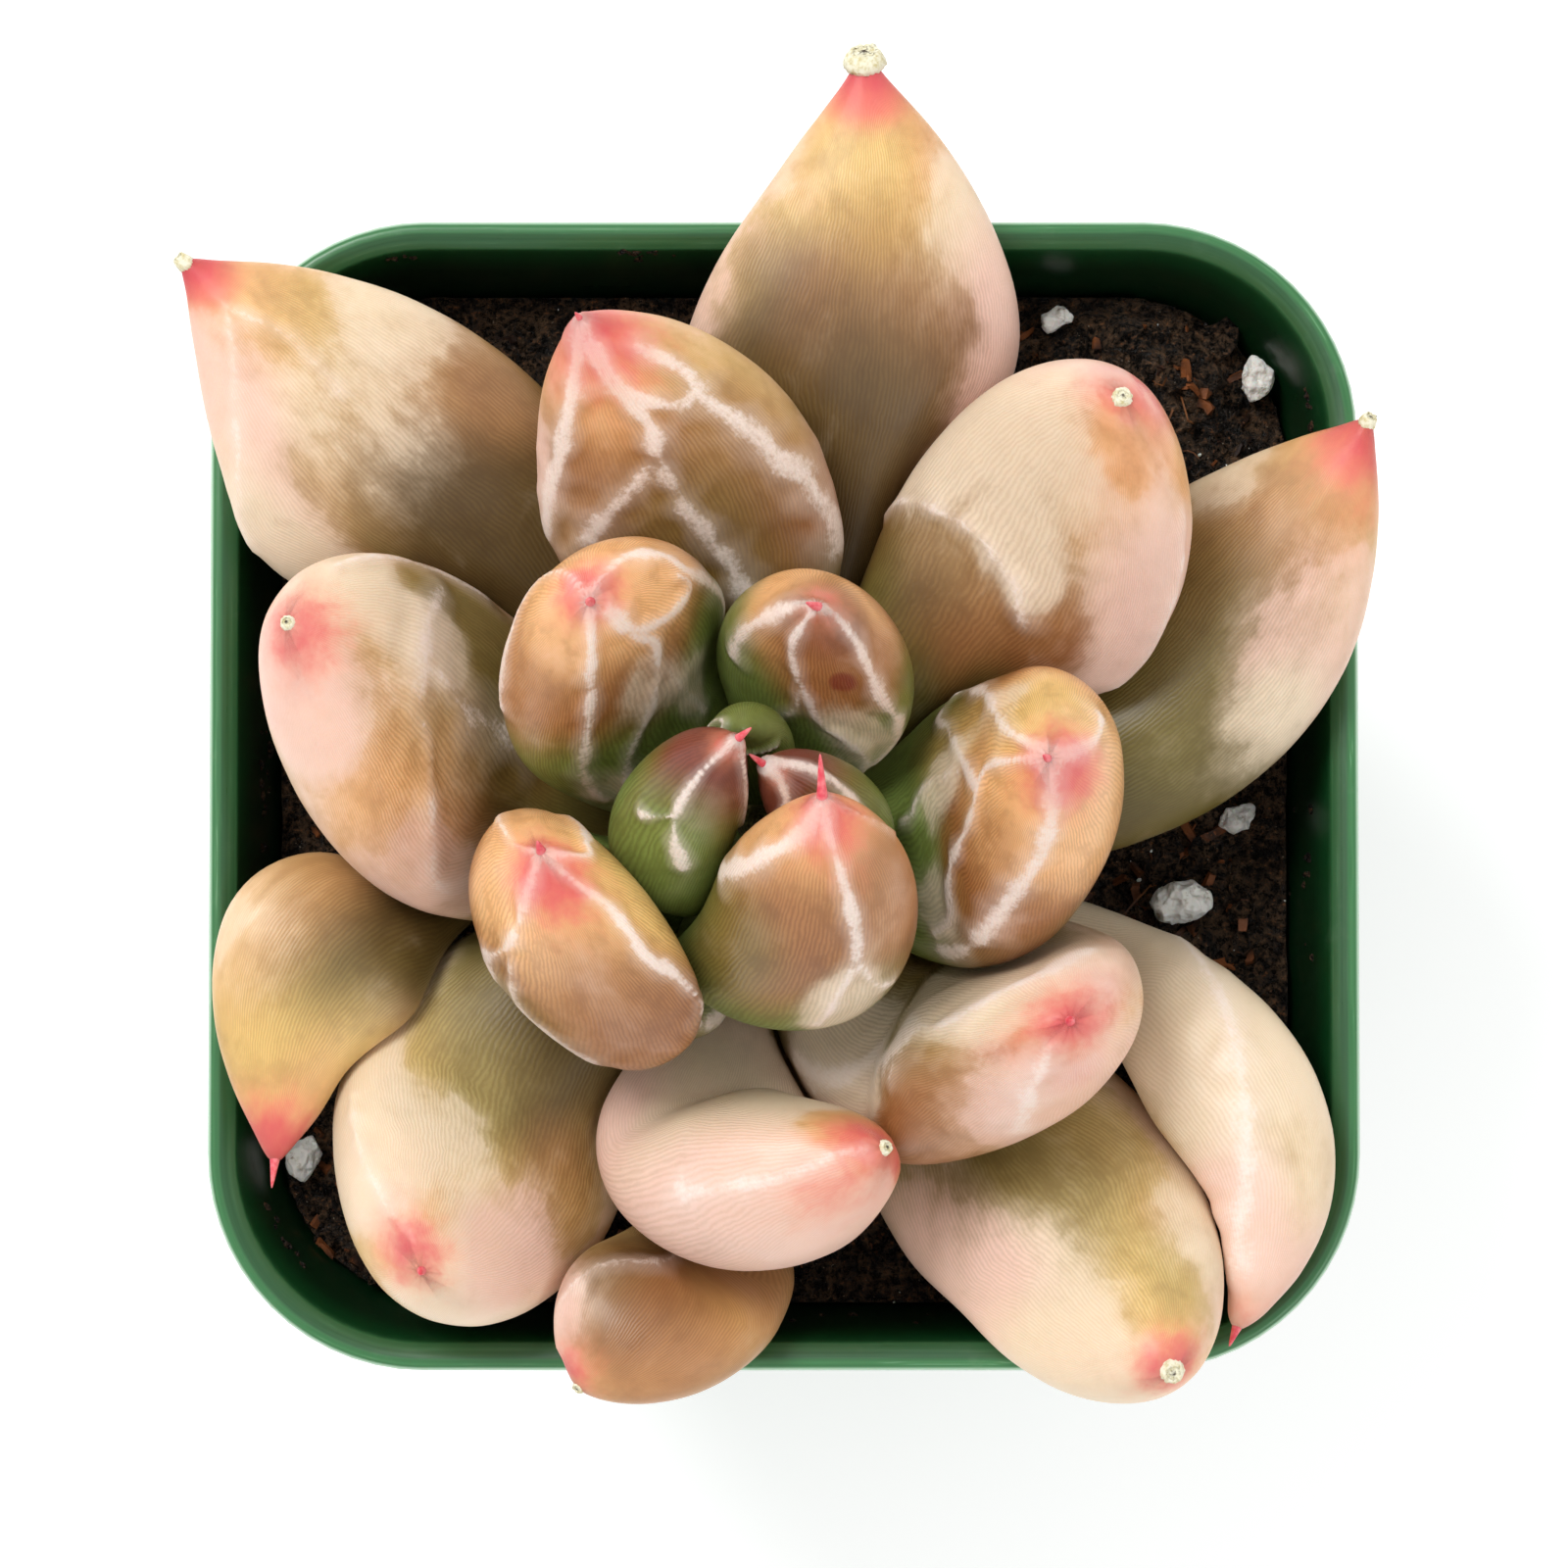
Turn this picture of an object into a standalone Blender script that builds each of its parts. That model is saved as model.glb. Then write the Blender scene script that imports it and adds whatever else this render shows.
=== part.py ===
"""Potted succulent: a plump leaved rosette growing in a square nursery pot.

Metres, +Z up.  The origin is the centre of the pot's flat underside.
Sizes are driven in millimetres by the names below.
"""
import bpy
import bmesh
import math
from mathutils import Vector
from mathutils.bvhtree import BVHTree

MM = 0.001

# ---------------------------------------------------------------- pot
RIM_WIDTH = 64.0
POT_HEIGHT = 58.0
BASE_WIDTH = 45.0
RIM_CORNER = 12.0
BASE_CORNER = 8.5
WALL = 0.8
LIP_OVERHANG = 0.7
LIP_DEPTH = 5.0
FLOOR = 1.4
DRAIN_DIAMETER = 5.0
DRAIN_INSET = 7.5
CORNER_STEPS = 14
SIDE_STEPS = 4
FOOT_ROUND = 0.5
FLOOR_ROUND = 1.2
LIP_ROUND = 0.45
LIP_STEP = 0.7

# ---------------------------------------------------------------- fits
FIT = 0.3
PRESS_GAP = 0.42

# ---------------------------------------------------------------- soil
SOIL_DEPTH = 8.0
MOUND_HEIGHT = 3.6
MOUND_X = 21.0
MOUND_Y = 25.0
MOUND_SPREAD = 7.7
STEM_SPREAD = 9.5
STEM_MOUND = 1.6
SOCKET_DEPTH = 4.0
SOIL_RINGS = 8

# ---------------------------------------------------------------- stem
STEM_X = -1.2
STEM_Y = -1.8
STEM_FOOT_RADIUS = 3.6
STEM_TOP_RADIUS = 1.2
STEM_TOP = 9.0
STEM_SIDES = 16

# ---------------------------------------------------------------- leaves
LEAF_SCALE = 1.0
LEAF_SIDES = 14
STATIONS = (0.0, 0.06, 0.14, 0.24, 0.35, 0.46, 0.57, 0.68, 0.78, 0.87, 0.94, 0.98)
ROOT_WIDTH = 3.6
ROOT_THICK = 1.7
UPPER_SHARE = 0.4
POINT_LENGTH = 0.6
LINE_ROUNDS = 40
GROW_ROUNDS = 60
PROBE_SPACING = 1.4
LEAST_HALF = 0.9
LEAST_SHARE = 0.08
BEND_STEP = 0.6
EVEN_STEP = 0.12
LEAST_REACH = 0.2
MOST_CUT = 0.2
CUT_STEP = 0.7

# Columns: facing (deg), root height, tip x, tip y, tip height, first pitch,
# last pitch, last turn (deg), belly, width, thickness, widest place,
# pointedness, roll (deg).  Heights are above the pot rim.
HEART_LEAVES = {
    "leaf_heart_n": (95, 10.0, -2.0, 2.7, 17.0, 60, 100, 0, 0.40, 4.4, 3.0, 0.50, 0.60, 0),
    "leaf_heart_w": (216, 9.0, -2.6, 1.9, 20.5, 10, 120, 0, 0.62, 6.8, 5.2, 0.55, 0.62, 0),
    "leaf_heart_e": (-27, 8.0, -0.8, 0.7, 18.5, 10, 120, 0, 0.60, 6.0, 4.5, 0.55, 0.62, 0),
}
INNER_LEAVES = {
    "leaf_inner_s": (260, 6.0, 2.0, -1.2, 22.0, 0, 125, 24, 0.62, 12.2, 7.6, 0.55, 0.55, 0),
    "leaf_inner_n": (64, 6.0, 1.6, 8.7, 20.0, 25, 75, 4, 0.50, 11.0, 7.5, 0.46, 0.58, 0),
    "leaf_inner_nw": (142, 4.5, -9.8, 9.0, 20.0, 25, 80, -10, 0.50, 14.4, 8.8, 0.52, 0.55, 0),
    "leaf_inner_sw": (226, 3.0, -12.2, -3.8, 19.0, 5, 62, -90, 0.64, 18.0, 10.0, 0.52, 0.52, 0),
    "leaf_inner_e": (-14, 2.5, 13.4, 1.1, 20.0, 15, 88, 10, 0.54, 16.0, 10.0, 0.48, 0.55, 0),
}
MIDDLE_LEAVES = {
    "leaf_middle_n": (98, 1.5, -10.4, 24.0, 15.0, 10, 50, 32, 0.42, 15.8, 9.0, 0.55, 0.68, 0),
    "leaf_middle_ne": (35, 0.5, 17.6, 20.1, 15.0, 10, 70, 28, 0.46, 16.8, 9.5, 0.58, 0.55, 0),
    "leaf_middle_w": (187, 0.0, -25.8, 8.4, 14.0, 5, 62, -30, 0.48, 17.8, 11.0, 0.58, 0.55, 0),
    "leaf_middle_se": (-61, -0.5, 14.8, -12.3, 15.0, 12, 80, 45, 0.66, 18.0, 10.8, 0.55, 0.52, 0),
    "leaf_middle_s": (272, -1.5, 5.1, -19.1, 11.5, 16, 46, 100, 0.84, 17.2, 10.8, 0.55, 0.52, 0),
}
LOWER_LEAVES = {
    "leaf_lower_sw": (216, -2.5, -19.2, -25.6, 9.5, 5, 75, 28, 0.50, 18.0, 10.8, 0.60, 0.52, 0),
    "leaf_lower_se": (-54, -3.2, 20.6, -31.0, 8.5, 2, 62, 0, 0.43, 16.4, 9.6, 0.62, 0.52, 0),
    "leaf_outer_se": (-34, -4.8, 24.9, -29.1, 2.5, 10, 0, -78, 0.46, 12.0, 7.0, 0.55, 0.75, 0),
    "leaf_outer_e": (10, -2.5, 31.6, 19.8, 6.0, 10, 30, 50, 0.42, 16.4, 8.0, 0.58, 0.85, 0),
    "leaf_outer_n": (78, -2.5, 4.4, 39.7, 6.0, 10, 15, 18, 0.36, 20.2, 8.5, 0.52, 1.00, 0),
    "leaf_outer_nw": (145, -3.0, -32.6, 28.7, 5.0, 10, 15, -4, 0.36, 19.2, 8.0, 0.55, 0.95, 0),
    "leaf_outer_w": (193, -3.5, -27.8, -19.9, 3.5, 10, 0, 72, 0.54, 15.4, 7.5, 0.55, 0.85, 0),
    "leaf_outer_s": (258, -4.6, -10.9, -32.2, 4.2, -8, 14, -34, 0.38, 15.8, 8.2, 0.62, 0.55, 0),
}

# Perlite grains: x, y, length, breadth, height, turn (deg)
GRAINS = {
    "perlite_ne": (27.0, 23.9, 2.6, 1.7, 1.5, 80),
    "perlite_e": (22.6, -6.0, 3.6, 2.4, 1.8, 10),
    "perlite_e_small": (26.0, -1.2, 2.2, 1.6, 1.2, 30),
    "perlite_n": (15.6, 27.4, 1.9, 1.3, 1.0, 20),
    "perlite_sw": (-27.4, -20.6, 2.6, 1.8, 1.4, 70),
}

COLOURS = {
    "green_plastic": (0.04, 0.22, 0.08),
    "potting_soil": (0.02, 0.013, 0.009),
    "stem_skin": (0.12, 0.16, 0.05),
    "heart_leaf_skin": (0.22, 0.30, 0.12),
    "inner_leaf_skin": (0.45, 0.25, 0.13),
    "middle_leaf_skin": (0.60, 0.40, 0.28),
    "outer_leaf_skin": (0.66, 0.45, 0.33),
    "perlite_white": (0.80, 0.80, 0.77),
}


# ---------------------------------------------------------------- helpers
def clear_objects():
    """Take every object out of the file."""
    for item in list(bpy.data.objects):
        bpy.data.objects.remove(item, do_unlink=True)


def material(slot):
    """Plain coloured material for one kind of sub-part."""
    found = bpy.data.materials.get(slot)
    if found:
        return found
    made = bpy.data.materials.new(slot)
    made.use_nodes = True
    shader = made.node_tree.nodes["Principled BSDF"]
    shader.inputs["Base Color"].default_value = (*COLOURS[slot], 1.0)
    shader.inputs["Roughness"].default_value = 0.5
    return made


def add_object(name, verts, faces, slot):
    """Make one named object from millimetre points, smooth, facing outward."""
    mesh = bpy.data.meshes.new(name)
    mesh.from_pydata([v * MM for v in verts], [], split(faces))
    mesh.polygons.foreach_set("use_smooth", [True] * len(mesh.polygons))
    mesh.update()
    made = bpy.data.objects.new(name, mesh)
    made.data.materials.append(material(slot))
    bpy.context.scene.collection.objects.link(made)
    return made


def direction(degrees):
    """Flat unit vector at this heading."""
    angle = math.radians(degrees)
    return Vector((math.cos(angle), math.sin(angle), 0.0))


def skin_rings(rings, first, last):
    """Points and faces of a closed skin over rings, shut by a point at each end."""
    count = len(rings[0])
    verts = [first]
    for ring in rings:
        verts.extend(ring)
    verts.append(last)
    faces = []
    for j in range(count):
        k = (j + 1) % count
        faces.append((0, 1 + k, 1 + j))
    for i in range(len(rings) - 1):
        low = 1 + i * count
        high = low + count
        for j in range(count):
            k = (j + 1) % count
            faces.append((low + j, low + k, high + k, high + j))
    low = 1 + (len(rings) - 1) * count
    for j in range(count):
        k = (j + 1) % count
        faces.append((low + j, low + k, len(verts) - 1))
    return verts, faces


class Solid:
    """A placed body that its later neighbours are pressed against."""

    def __init__(self, verts, faces):
        self.verts = [v.copy() for v in verts]
        self.tree = BVHTree.FromPolygons(self.verts, split(faces))
        self.probes = self.verts + edge_points(self.verts, faces)
        xs = [v.x for v in verts]
        ys = [v.y for v in verts]
        zs = [v.z for v in verts]
        self.low = Vector((min(xs), min(ys), min(zs)))
        self.high = Vector((max(xs), max(ys), max(zs)))

    def meets(self, other):
        """Whether the two boxes, grown by the press gap, touch."""
        for axis in range(3):
            if self.low[axis] - PRESS_GAP > other.high[axis]:
                return False
            if other.low[axis] - PRESS_GAP > self.high[axis]:
                return False
        return True

    def near(self, point, margin):
        """Whether the point is in this body's box grown by the margin."""
        for axis in range(3):
            if point[axis] < self.low[axis] - margin:
                return False
            if point[axis] > self.high[axis] + margin:
                return False
        return True


def edge_points(verts, faces):
    """Points along the long edges of a skin."""
    points = []
    for face in faces:
        for a, b in zip(face, face[1:] + face[:1]):
            steps = int((verts[a] - verts[b]).length / PROBE_SPACING)
            if a < b:
                points.extend(verts[a].lerp(verts[b], k / (steps + 1)) for k in range(1, steps + 1))
    return points


def split(faces):
    """The faces as triangles."""
    result = []
    for face in faces:
        for i in range(1, len(face) - 1):
            result.append((face[0], face[i], face[i + 1]))
    return result


def way_out(tree, point, gap):
    """How far a point has to move to stand the gap clear of a closed skin."""
    place, normal, index, distance = tree.find_nearest(point)
    if place is None:
        return None, None
    away = point - place
    if away.dot(normal) < 0.0:
        if distance < 1e-6:
            return normal * gap, index
        return away * (-(distance + gap) / distance), index
    if distance >= gap:
        return None, None
    if distance < 1e-6:
        return normal * gap, index
    return away * ((gap - distance) / distance), index


def clear_line(line, placed):
    """Bend a leaf's middle line until it runs clear of the placed bodies."""
    now = [p.copy() for p in line]
    for step in range(LINE_ROUNDS):
        moves = [Vector((0, 0, 0)) for p in now]
        for i in range(1, len(now)):
            room = PRESS_GAP + LEAST_HALF * min(1.0, i / 3.0)
            for body in placed:
                if body.near(now[i], room):
                    move, index = way_out(body.tree, now[i], room)
                    if move is not None and move.length > moves[i].length:
                        moves[i] = move
        if max(m.length for m in moves) < 1e-4:
            break
        for i in range(1, len(now)):
            nearby = moves[max(1, i - 1):i + 2]
            shared = sum(nearby, Vector((0, 0, 0))) / len(nearby)
            best = moves[i] if moves[i].length > shared.length else shared
            now[i] = now[i] + best * BEND_STEP
    return now


def open_share(core, target, placed):
    """Share of the way from the core to the target that is free."""
    way = target - core
    length = way.length
    share = 1.0
    for body in placed:
        if body.near(core, length + PRESS_GAP):
            hit = body.tree.ray_cast(core, way.normalized(), length + PRESS_GAP)
            if hit[0] is not None:
                share = min(share, max(0.0, (hit[3] - PRESS_GAP) / length))
    return share


def grow(cores, targets, faces, placed):
    """Swell a skin from its middle line to its full size, or to what it meets."""
    triangles = split(faces)
    links = [set() for v in cores]
    for a, b, c in triangles:
        links[a].update((b, c))
        links[b].update((a, c))
        links[c].update((a, b))
    pairs = [(i, k) for i in range(len(cores)) for k in sorted(links[i]) if i < k]
    shares = [open_share(c, t, placed) for c, t in zip(cores, targets)]
    for step in range(GROW_ROUNDS):
        if step < GROW_ROUNDS // 2:
            mean = [sum(shares[k] for k in links[i]) / len(links[i]) for i in range(len(shares))]
            shares = [min(s, m + EVEN_STEP) for s, m in zip(shares, mean)]
        now = [c.lerp(t, s) for c, t, s in zip(cores, targets, shares)]
        tight = {}
        tree = BVHTree.FromPolygons(now, triangles)
        own = Solid(now, faces)
        for body in placed:
            if not body.meets(own):
                continue
            spots = [((i,), p) for i, p in enumerate(now)]
            spots += [((i, k), (now[i] + now[k]) / 2.0) for i, k in pairs]
            spots += [(t, (now[t[0]] + now[t[1]] + now[t[2]]) / 3.0) for t in triangles]
            for corners, point in spots:
                if body.near(point, PRESS_GAP):
                    move, index = way_out(body.tree, point, PRESS_GAP)
                    if move is not None:
                        for k in corners:
                            tight[k] = max(tight.get(k, 0.0), move.length)
            for corner in body.probes:
                if own.near(corner, PRESS_GAP):
                    move, index = way_out(tree, corner, PRESS_GAP)
                    if move is not None:
                        for k in triangles[index]:
                            tight[k] = max(tight.get(k, 0.0), move.length)
        if not tight:
            break
        for k, depth in tight.items():
            size = max(LEAST_REACH, (targets[k] - cores[k]).length)
            shares[k] = max(LEAST_SHARE, shares[k] - min(MOST_CUT, depth * CUT_STEP / size))
    return [c.lerp(t, s) for c, t, s in zip(cores, targets, shares)]


# ---------------------------------------------------------------- pot
def outline(half, corner, height):
    """Rounded square at one height, as a ring of points."""
    points = []
    straight = half - corner
    for quarter in range(4):
        centre = direction(45 + 90 * quarter) * (straight * math.sqrt(2.0))
        for step in range(CORNER_STEPS + 1):
            heading = 90.0 * quarter + 90.0 * step / CORNER_STEPS
            points.append(centre + direction(heading) * corner)
        side = direction(90 * quarter + 90) * half
        along = direction(90 * quarter + 180)
        for step in range(1, SIDE_STEPS):
            offset = straight * (2.0 * step / SIDE_STEPS - 1.0)
            points.append(side + along * offset)
    return [Vector((p.x, p.y, height)) for p in points]


def wall_half(height, inset=0.0):
    """Half width of the tapered wall's outside at a height."""
    share = height / POT_HEIGHT
    top = RIM_WIDTH / 2 - LIP_OVERHANG
    base = BASE_WIDTH / 2
    return base + (top - base) * share - inset


def wall_corner(height, inset=0.0):
    """Corner radius of the tapered wall's outside at a height."""
    share = height / POT_HEIGHT
    return BASE_CORNER + (RIM_CORNER - LIP_OVERHANG - BASE_CORNER) * share - inset


def wall_ring(height, inset=0.0):
    """Ring of the wall at a height, set in from its outside."""
    return outline(wall_half(height, inset), wall_corner(height, inset), height)


def lip_ring(height, inset):
    """Ring of the rolled lip at a height, set in from the widest line."""
    return outline(RIM_WIDTH / 2 - inset, RIM_CORNER - inset, height)


def build_pot():
    """Tapered square pot with a lip band, a floor and four drain holes."""
    rings = [
        wall_ring(0.0, FOOT_ROUND),
        wall_ring(FOOT_ROUND),
        wall_ring(POT_HEIGHT - LIP_DEPTH),
        lip_ring(POT_HEIGHT - LIP_DEPTH + 0.2, 0.25),
        lip_ring(POT_HEIGHT - LIP_DEPTH + LIP_STEP, 0.0),
        lip_ring(POT_HEIGHT - LIP_ROUND, 0.0),
        lip_ring(POT_HEIGHT - 0.12, 0.15),
        lip_ring(POT_HEIGHT, LIP_ROUND),
        lip_ring(POT_HEIGHT - 0.08, 0.85),
        wall_ring(POT_HEIGHT - LIP_ROUND, WALL),
        wall_ring(FLOOR + FLOOR_ROUND, WALL),
        wall_ring(FLOOR, WALL + FLOOR_ROUND),
    ]
    low = Vector((0.0, 0.0, 0.0))
    high = Vector((0.0, 0.0, FLOOR))
    verts, faces = skin_rings(rings, low, high)
    pot = add_object("pot", verts, faces, "green_plastic")
    cut_drains(pot)
    return Solid(verts, faces)


def cut_drains(pot):
    """Drill the drain holes near the corners of the floor."""
    shell = bmesh.new()
    reach = BASE_WIDTH / 2 - DRAIN_INSET
    for quarter in range(4):
        centre = direction(45 + 90 * quarter) * (reach * math.sqrt(2.0))
        made = bmesh.ops.create_cone(
            shell,
            cap_ends=True,
            segments=16,
            radius1=DRAIN_DIAMETER / 2 * MM,
            radius2=DRAIN_DIAMETER / 2 * MM,
            depth=FLOOR * 3 * MM,
        )
        bmesh.ops.translate(shell, verts=made["verts"], vec=centre * MM)
    mesh = bpy.data.meshes.new("drain_cutter")
    shell.to_mesh(mesh)
    shell.free()
    cutter = bpy.data.objects.new("drain_cutter", mesh)
    bpy.context.scene.collection.objects.link(cutter)
    cutter.hide_render = True
    cutter.display_type = "WIRE"
    drill = pot.modifiers.new("drains", "BOOLEAN")
    drill.operation = "DIFFERENCE"
    drill.solver = "EXACT"
    drill.object = cutter


# ---------------------------------------------------------------- soil
def soil_height(x, y):
    """Height of the loose soil at a place, before the socket is sunk."""
    level = POT_HEIGHT - SOIL_DEPTH
    bump = 0.55 * math.sin(0.41 * x + 0.8) * math.cos(0.37 * y - 0.4)
    bump += 0.35 * math.sin(0.83 * x - 0.59 * y + 2.0)
    mound = math.exp(-((x - MOUND_X) ** 2 + (y - MOUND_Y) ** 2) / MOUND_SPREAD ** 2)
    collar = math.exp(-((x - STEM_X) ** 2 + (y - STEM_Y) ** 2) / STEM_SPREAD ** 2)
    return level + bump + MOUND_HEIGHT * mound + STEM_MOUND * collar


def build_soil():
    """Soil that fills the pot, with a socket for the stem."""
    foot = Vector((STEM_X, STEM_Y, 0.0))
    edge = wall_ring(POT_HEIGHT - SOIL_DEPTH, WALL + FIT)
    headings = [(p - foot).xy.normalized() for p in edge]
    socket = STEM_FOOT_RADIUS + FIT
    rings = [
        wall_ring(FLOOR + FIT, WALL + FLOOR_ROUND + FIT),
        wall_ring(FLOOR + FLOOR_ROUND + FIT, WALL + FIT),
        wall_ring((POT_HEIGHT - SOIL_DEPTH) / 2, WALL + FIT),
    ]
    for i in range(SOIL_RINGS, -1, -1):
        share = (i / SOIL_RINGS) ** 0.9
        ring = []
        for heading, outer in zip(headings, edge):
            inner = foot + Vector((heading.x, heading.y, 0.0)) * socket
            place = inner.lerp(outer, share)
            height = soil_height(place.x, place.y)
            if i == SOIL_RINGS:
                height = POT_HEIGHT - SOIL_DEPTH
            ring.append(Vector((place.x, place.y, height)))
        rings.append(ring)
    floor = POT_HEIGHT - SOIL_DEPTH + STEM_MOUND - SOCKET_DEPTH
    ring = []
    for heading in headings:
        place = foot + Vector((heading.x, heading.y, 0.0)) * socket
        ring.append(Vector((place.x, place.y, floor)))
    rings.append(ring)
    low = Vector((0.0, 0.0, FLOOR + FIT))
    high = Vector((STEM_X, STEM_Y, floor))
    verts, faces = skin_rings(rings, low, high)
    add_object("soil", verts, faces, "potting_soil")
    return Solid(verts, faces)


# ---------------------------------------------------------------- stem
def stem_radius(height):
    """Radius of the tapering stem at a height above the rim."""
    foot = STEM_MOUND - SOIL_DEPTH - SOCKET_DEPTH
    share = (height - foot) / (STEM_TOP - foot)
    return STEM_FOOT_RADIUS + (STEM_TOP_RADIUS - STEM_FOOT_RADIUS) * share


def build_stem():
    """Short upright stem that every leaf grows from."""
    foot = STEM_MOUND - SOIL_DEPTH - SOCKET_DEPTH + FIT
    rings = []
    steps = 8
    for i in range(steps + 1):
        height = foot + (STEM_TOP - foot) * i / steps
        radius = stem_radius(height)
        ring = []
        for j in range(STEM_SIDES):
            place = direction(360.0 * j / STEM_SIDES) * radius
            ring.append(place + Vector((STEM_X, STEM_Y, POT_HEIGHT + height)))
        rings.append(ring)
    low = Vector((STEM_X, STEM_Y, POT_HEIGHT + foot))
    high = Vector((STEM_X, STEM_Y, POT_HEIGHT + STEM_TOP + STEM_TOP_RADIUS * 0.6))
    verts, faces = skin_rings(rings, low, high)
    add_object("stem", verts, faces, "stem_skin")
    return Solid(verts, faces)


# ---------------------------------------------------------------- leaves
def swell(place, widest, start, pointed):
    """Share of the full width at a place along the leaf."""
    if place < widest:
        return start + (1.0 - start) * math.sin(math.pi / 2 * place / widest) ** 0.9
    rest = (place - widest) / (1.0 - widest)
    return (1.0 - rest * rest) ** pointed


def curve_point(corners, place):
    """Place and heading on the middle line of a leaf."""
    a, b, c, d = corners
    u = 1.0 - place
    where = a * u ** 3 + b * 3 * u * u * place + c * 3 * u * place ** 2 + d * place ** 3
    along = (b - a) * 3 * u * u + (c - b) * 6 * u * place + (d - c) * 3 * place ** 2
    return where, along.normalized()


def leaf_line(row):
    """Four corners of the middle line, from the stem to the tip."""
    facing, root, tip_x, tip_y, tip_z, first, last, turn, belly = row[:9]
    stand = stem_radius(root) + FIT + 0.15
    centre = Vector((STEM_X, STEM_Y, POT_HEIGHT + root))
    a = centre + direction(facing) * stand
    d = Vector((tip_x, tip_y, POT_HEIGHT + tip_z))
    reach = (d - a).length * belly
    pitch = math.radians(first)
    b = a + (direction(facing) * math.cos(pitch) + Vector((0, 0, math.sin(pitch)))) * reach
    pitch = math.radians(last)
    end = direction(facing + turn) * math.cos(pitch) + Vector((0, 0, math.sin(pitch)))
    c = d - end * reach
    return a, b, c, d


def leaf_skin(row, placed):
    """Points and faces of one plump leaf, dented by the placed bodies."""
    facing = row[0]
    width, thick, widest, pointed, roll = row[9:]
    width *= LEAF_SCALE
    thick *= LEAF_SCALE
    corners = leaf_line(row)
    left = direction(facing + 90)
    line = [curve_point(corners, place)[0] for place in STATIONS]
    tip, along = curve_point(corners, 1.0)
    line = clear_line(line + [tip], placed)
    rings = []
    for i, place in enumerate(STATIONS):
        along = (line[i + 1] - line[max(0, i - 1)]).normalized()
        up = along.cross(left).normalized()
        side = up.cross(along).normalized()
        lean = math.radians(roll) * min(1.0, place / 0.4)
        tilted_side = side * math.cos(lean) + up * math.sin(lean)
        tilted_up = up * math.cos(lean) - side * math.sin(lean)
        broad = width / 2 * swell(place, widest, ROOT_WIDTH / width, pointed)
        deep = thick * swell(place, widest + 0.04, ROOT_THICK / thick, pointed * 0.9)
        ring = []
        for j in range(LEAF_SIDES):
            angle = 2 * math.pi * j / LEAF_SIDES
            rise = math.sin(angle)
            share = UPPER_SHARE if rise > 0 else 1.0 - UPPER_SHARE
            offset = tilted_side * (broad * math.cos(angle))
            ring.append(line[i] + offset + tilted_up * (deep * share * rise))
        rings.append(ring)
    along = (line[1] - line[0]).normalized()
    base = line[0] - along * 0.1
    along = (line[-1] - line[-2]).normalized()
    tip = line[-1] + along * POINT_LENGTH
    verts, faces = skin_rings(rings, base, tip)
    cores = [line[0]]
    for i in range(len(rings)):
        cores.extend([line[i]] * LEAF_SIDES)
    cores.append(line[-2])
    return grow(cores, verts, faces, placed), faces


def build_leaves(placed):
    """Leaves from the heart outward, each dented by the ones before it."""
    tiers = (
        (HEART_LEAVES, "heart_leaf_skin"),
        (INNER_LEAVES, "inner_leaf_skin"),
        (MIDDLE_LEAVES, "middle_leaf_skin"),
        (LOWER_LEAVES, "outer_leaf_skin"),
    )
    for leaves, slot in tiers:
        for name, row in leaves.items():
            verts, faces = leaf_skin(row, placed)
            add_object(name, verts, faces, slot)
            placed.append(Solid(verts, faces))


# ---------------------------------------------------------------- perlite
def drop_onto(soil, verts, faces):
    """How far a loose body can fall before it meets the soil."""
    down = Vector((0, 0, -1))
    above = Vector((0, 0, 90.0))
    falls = []
    for vert in verts:
        place = soil.tree.ray_cast(vert + above, down)[0]
        if place is not None:
            falls.append(vert.z - place.z)
    tree = BVHTree.FromPolygons(verts, faces)
    for point in soil.probes:
        place = tree.ray_cast(point - above, -down)[0]
        if place is not None:
            falls.append(place.z - point.z)
    return min(falls)


def build_grains(soil):
    """Loose perlite grains that lie on the soil."""
    for name, row in GRAINS.items():
        x, y, length, breadth, height, turn = row
        shell = bmesh.new()
        bmesh.ops.create_icosphere(shell, subdivisions=2, radius=0.5)
        long_way = direction(turn)
        wide_way = direction(turn + 90)
        for vert in shell.verts:
            p = vert.co.copy()
            rough = 1.0 + 0.12 * math.sin(9.0 * p.x + 5.0 * p.y + x) * math.cos(8.0 * p.z + y)
            flat = long_way * (p.x * length * rough) + wide_way * (p.y * breadth * rough)
            vert.co = flat + Vector((x, y, p.z * height * rough))
        verts = [v.co.copy() for v in shell.verts]
        faces = [[v.index for v in f.verts] for f in shell.faces]
        shell.free()
        drop = drop_onto(soil, verts, faces) - FIT
        verts = [v - Vector((0, 0, drop)) for v in verts]
        add_object(name, verts, faces, "perlite_white")


def main():
    """Build every sub-part."""
    clear_objects()
    pot = build_pot()
    soil = build_soil()
    stem = build_stem()
    build_leaves([stem, soil, pot])
    build_grains(soil)


main()
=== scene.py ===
"""The finish of a potted rosette succulent: plump leaves with a powdery coat, in a small square nursery pot.

It is laid out as an add-on. The sidebar panel lists one step for each group of pieces, and the steps run in
order when the file runs as a script.
"""

import math
import random

import bpy
import numpy as np
from mathutils import Matrix, Vector
from mathutils.bvhtree import BVHTree


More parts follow.
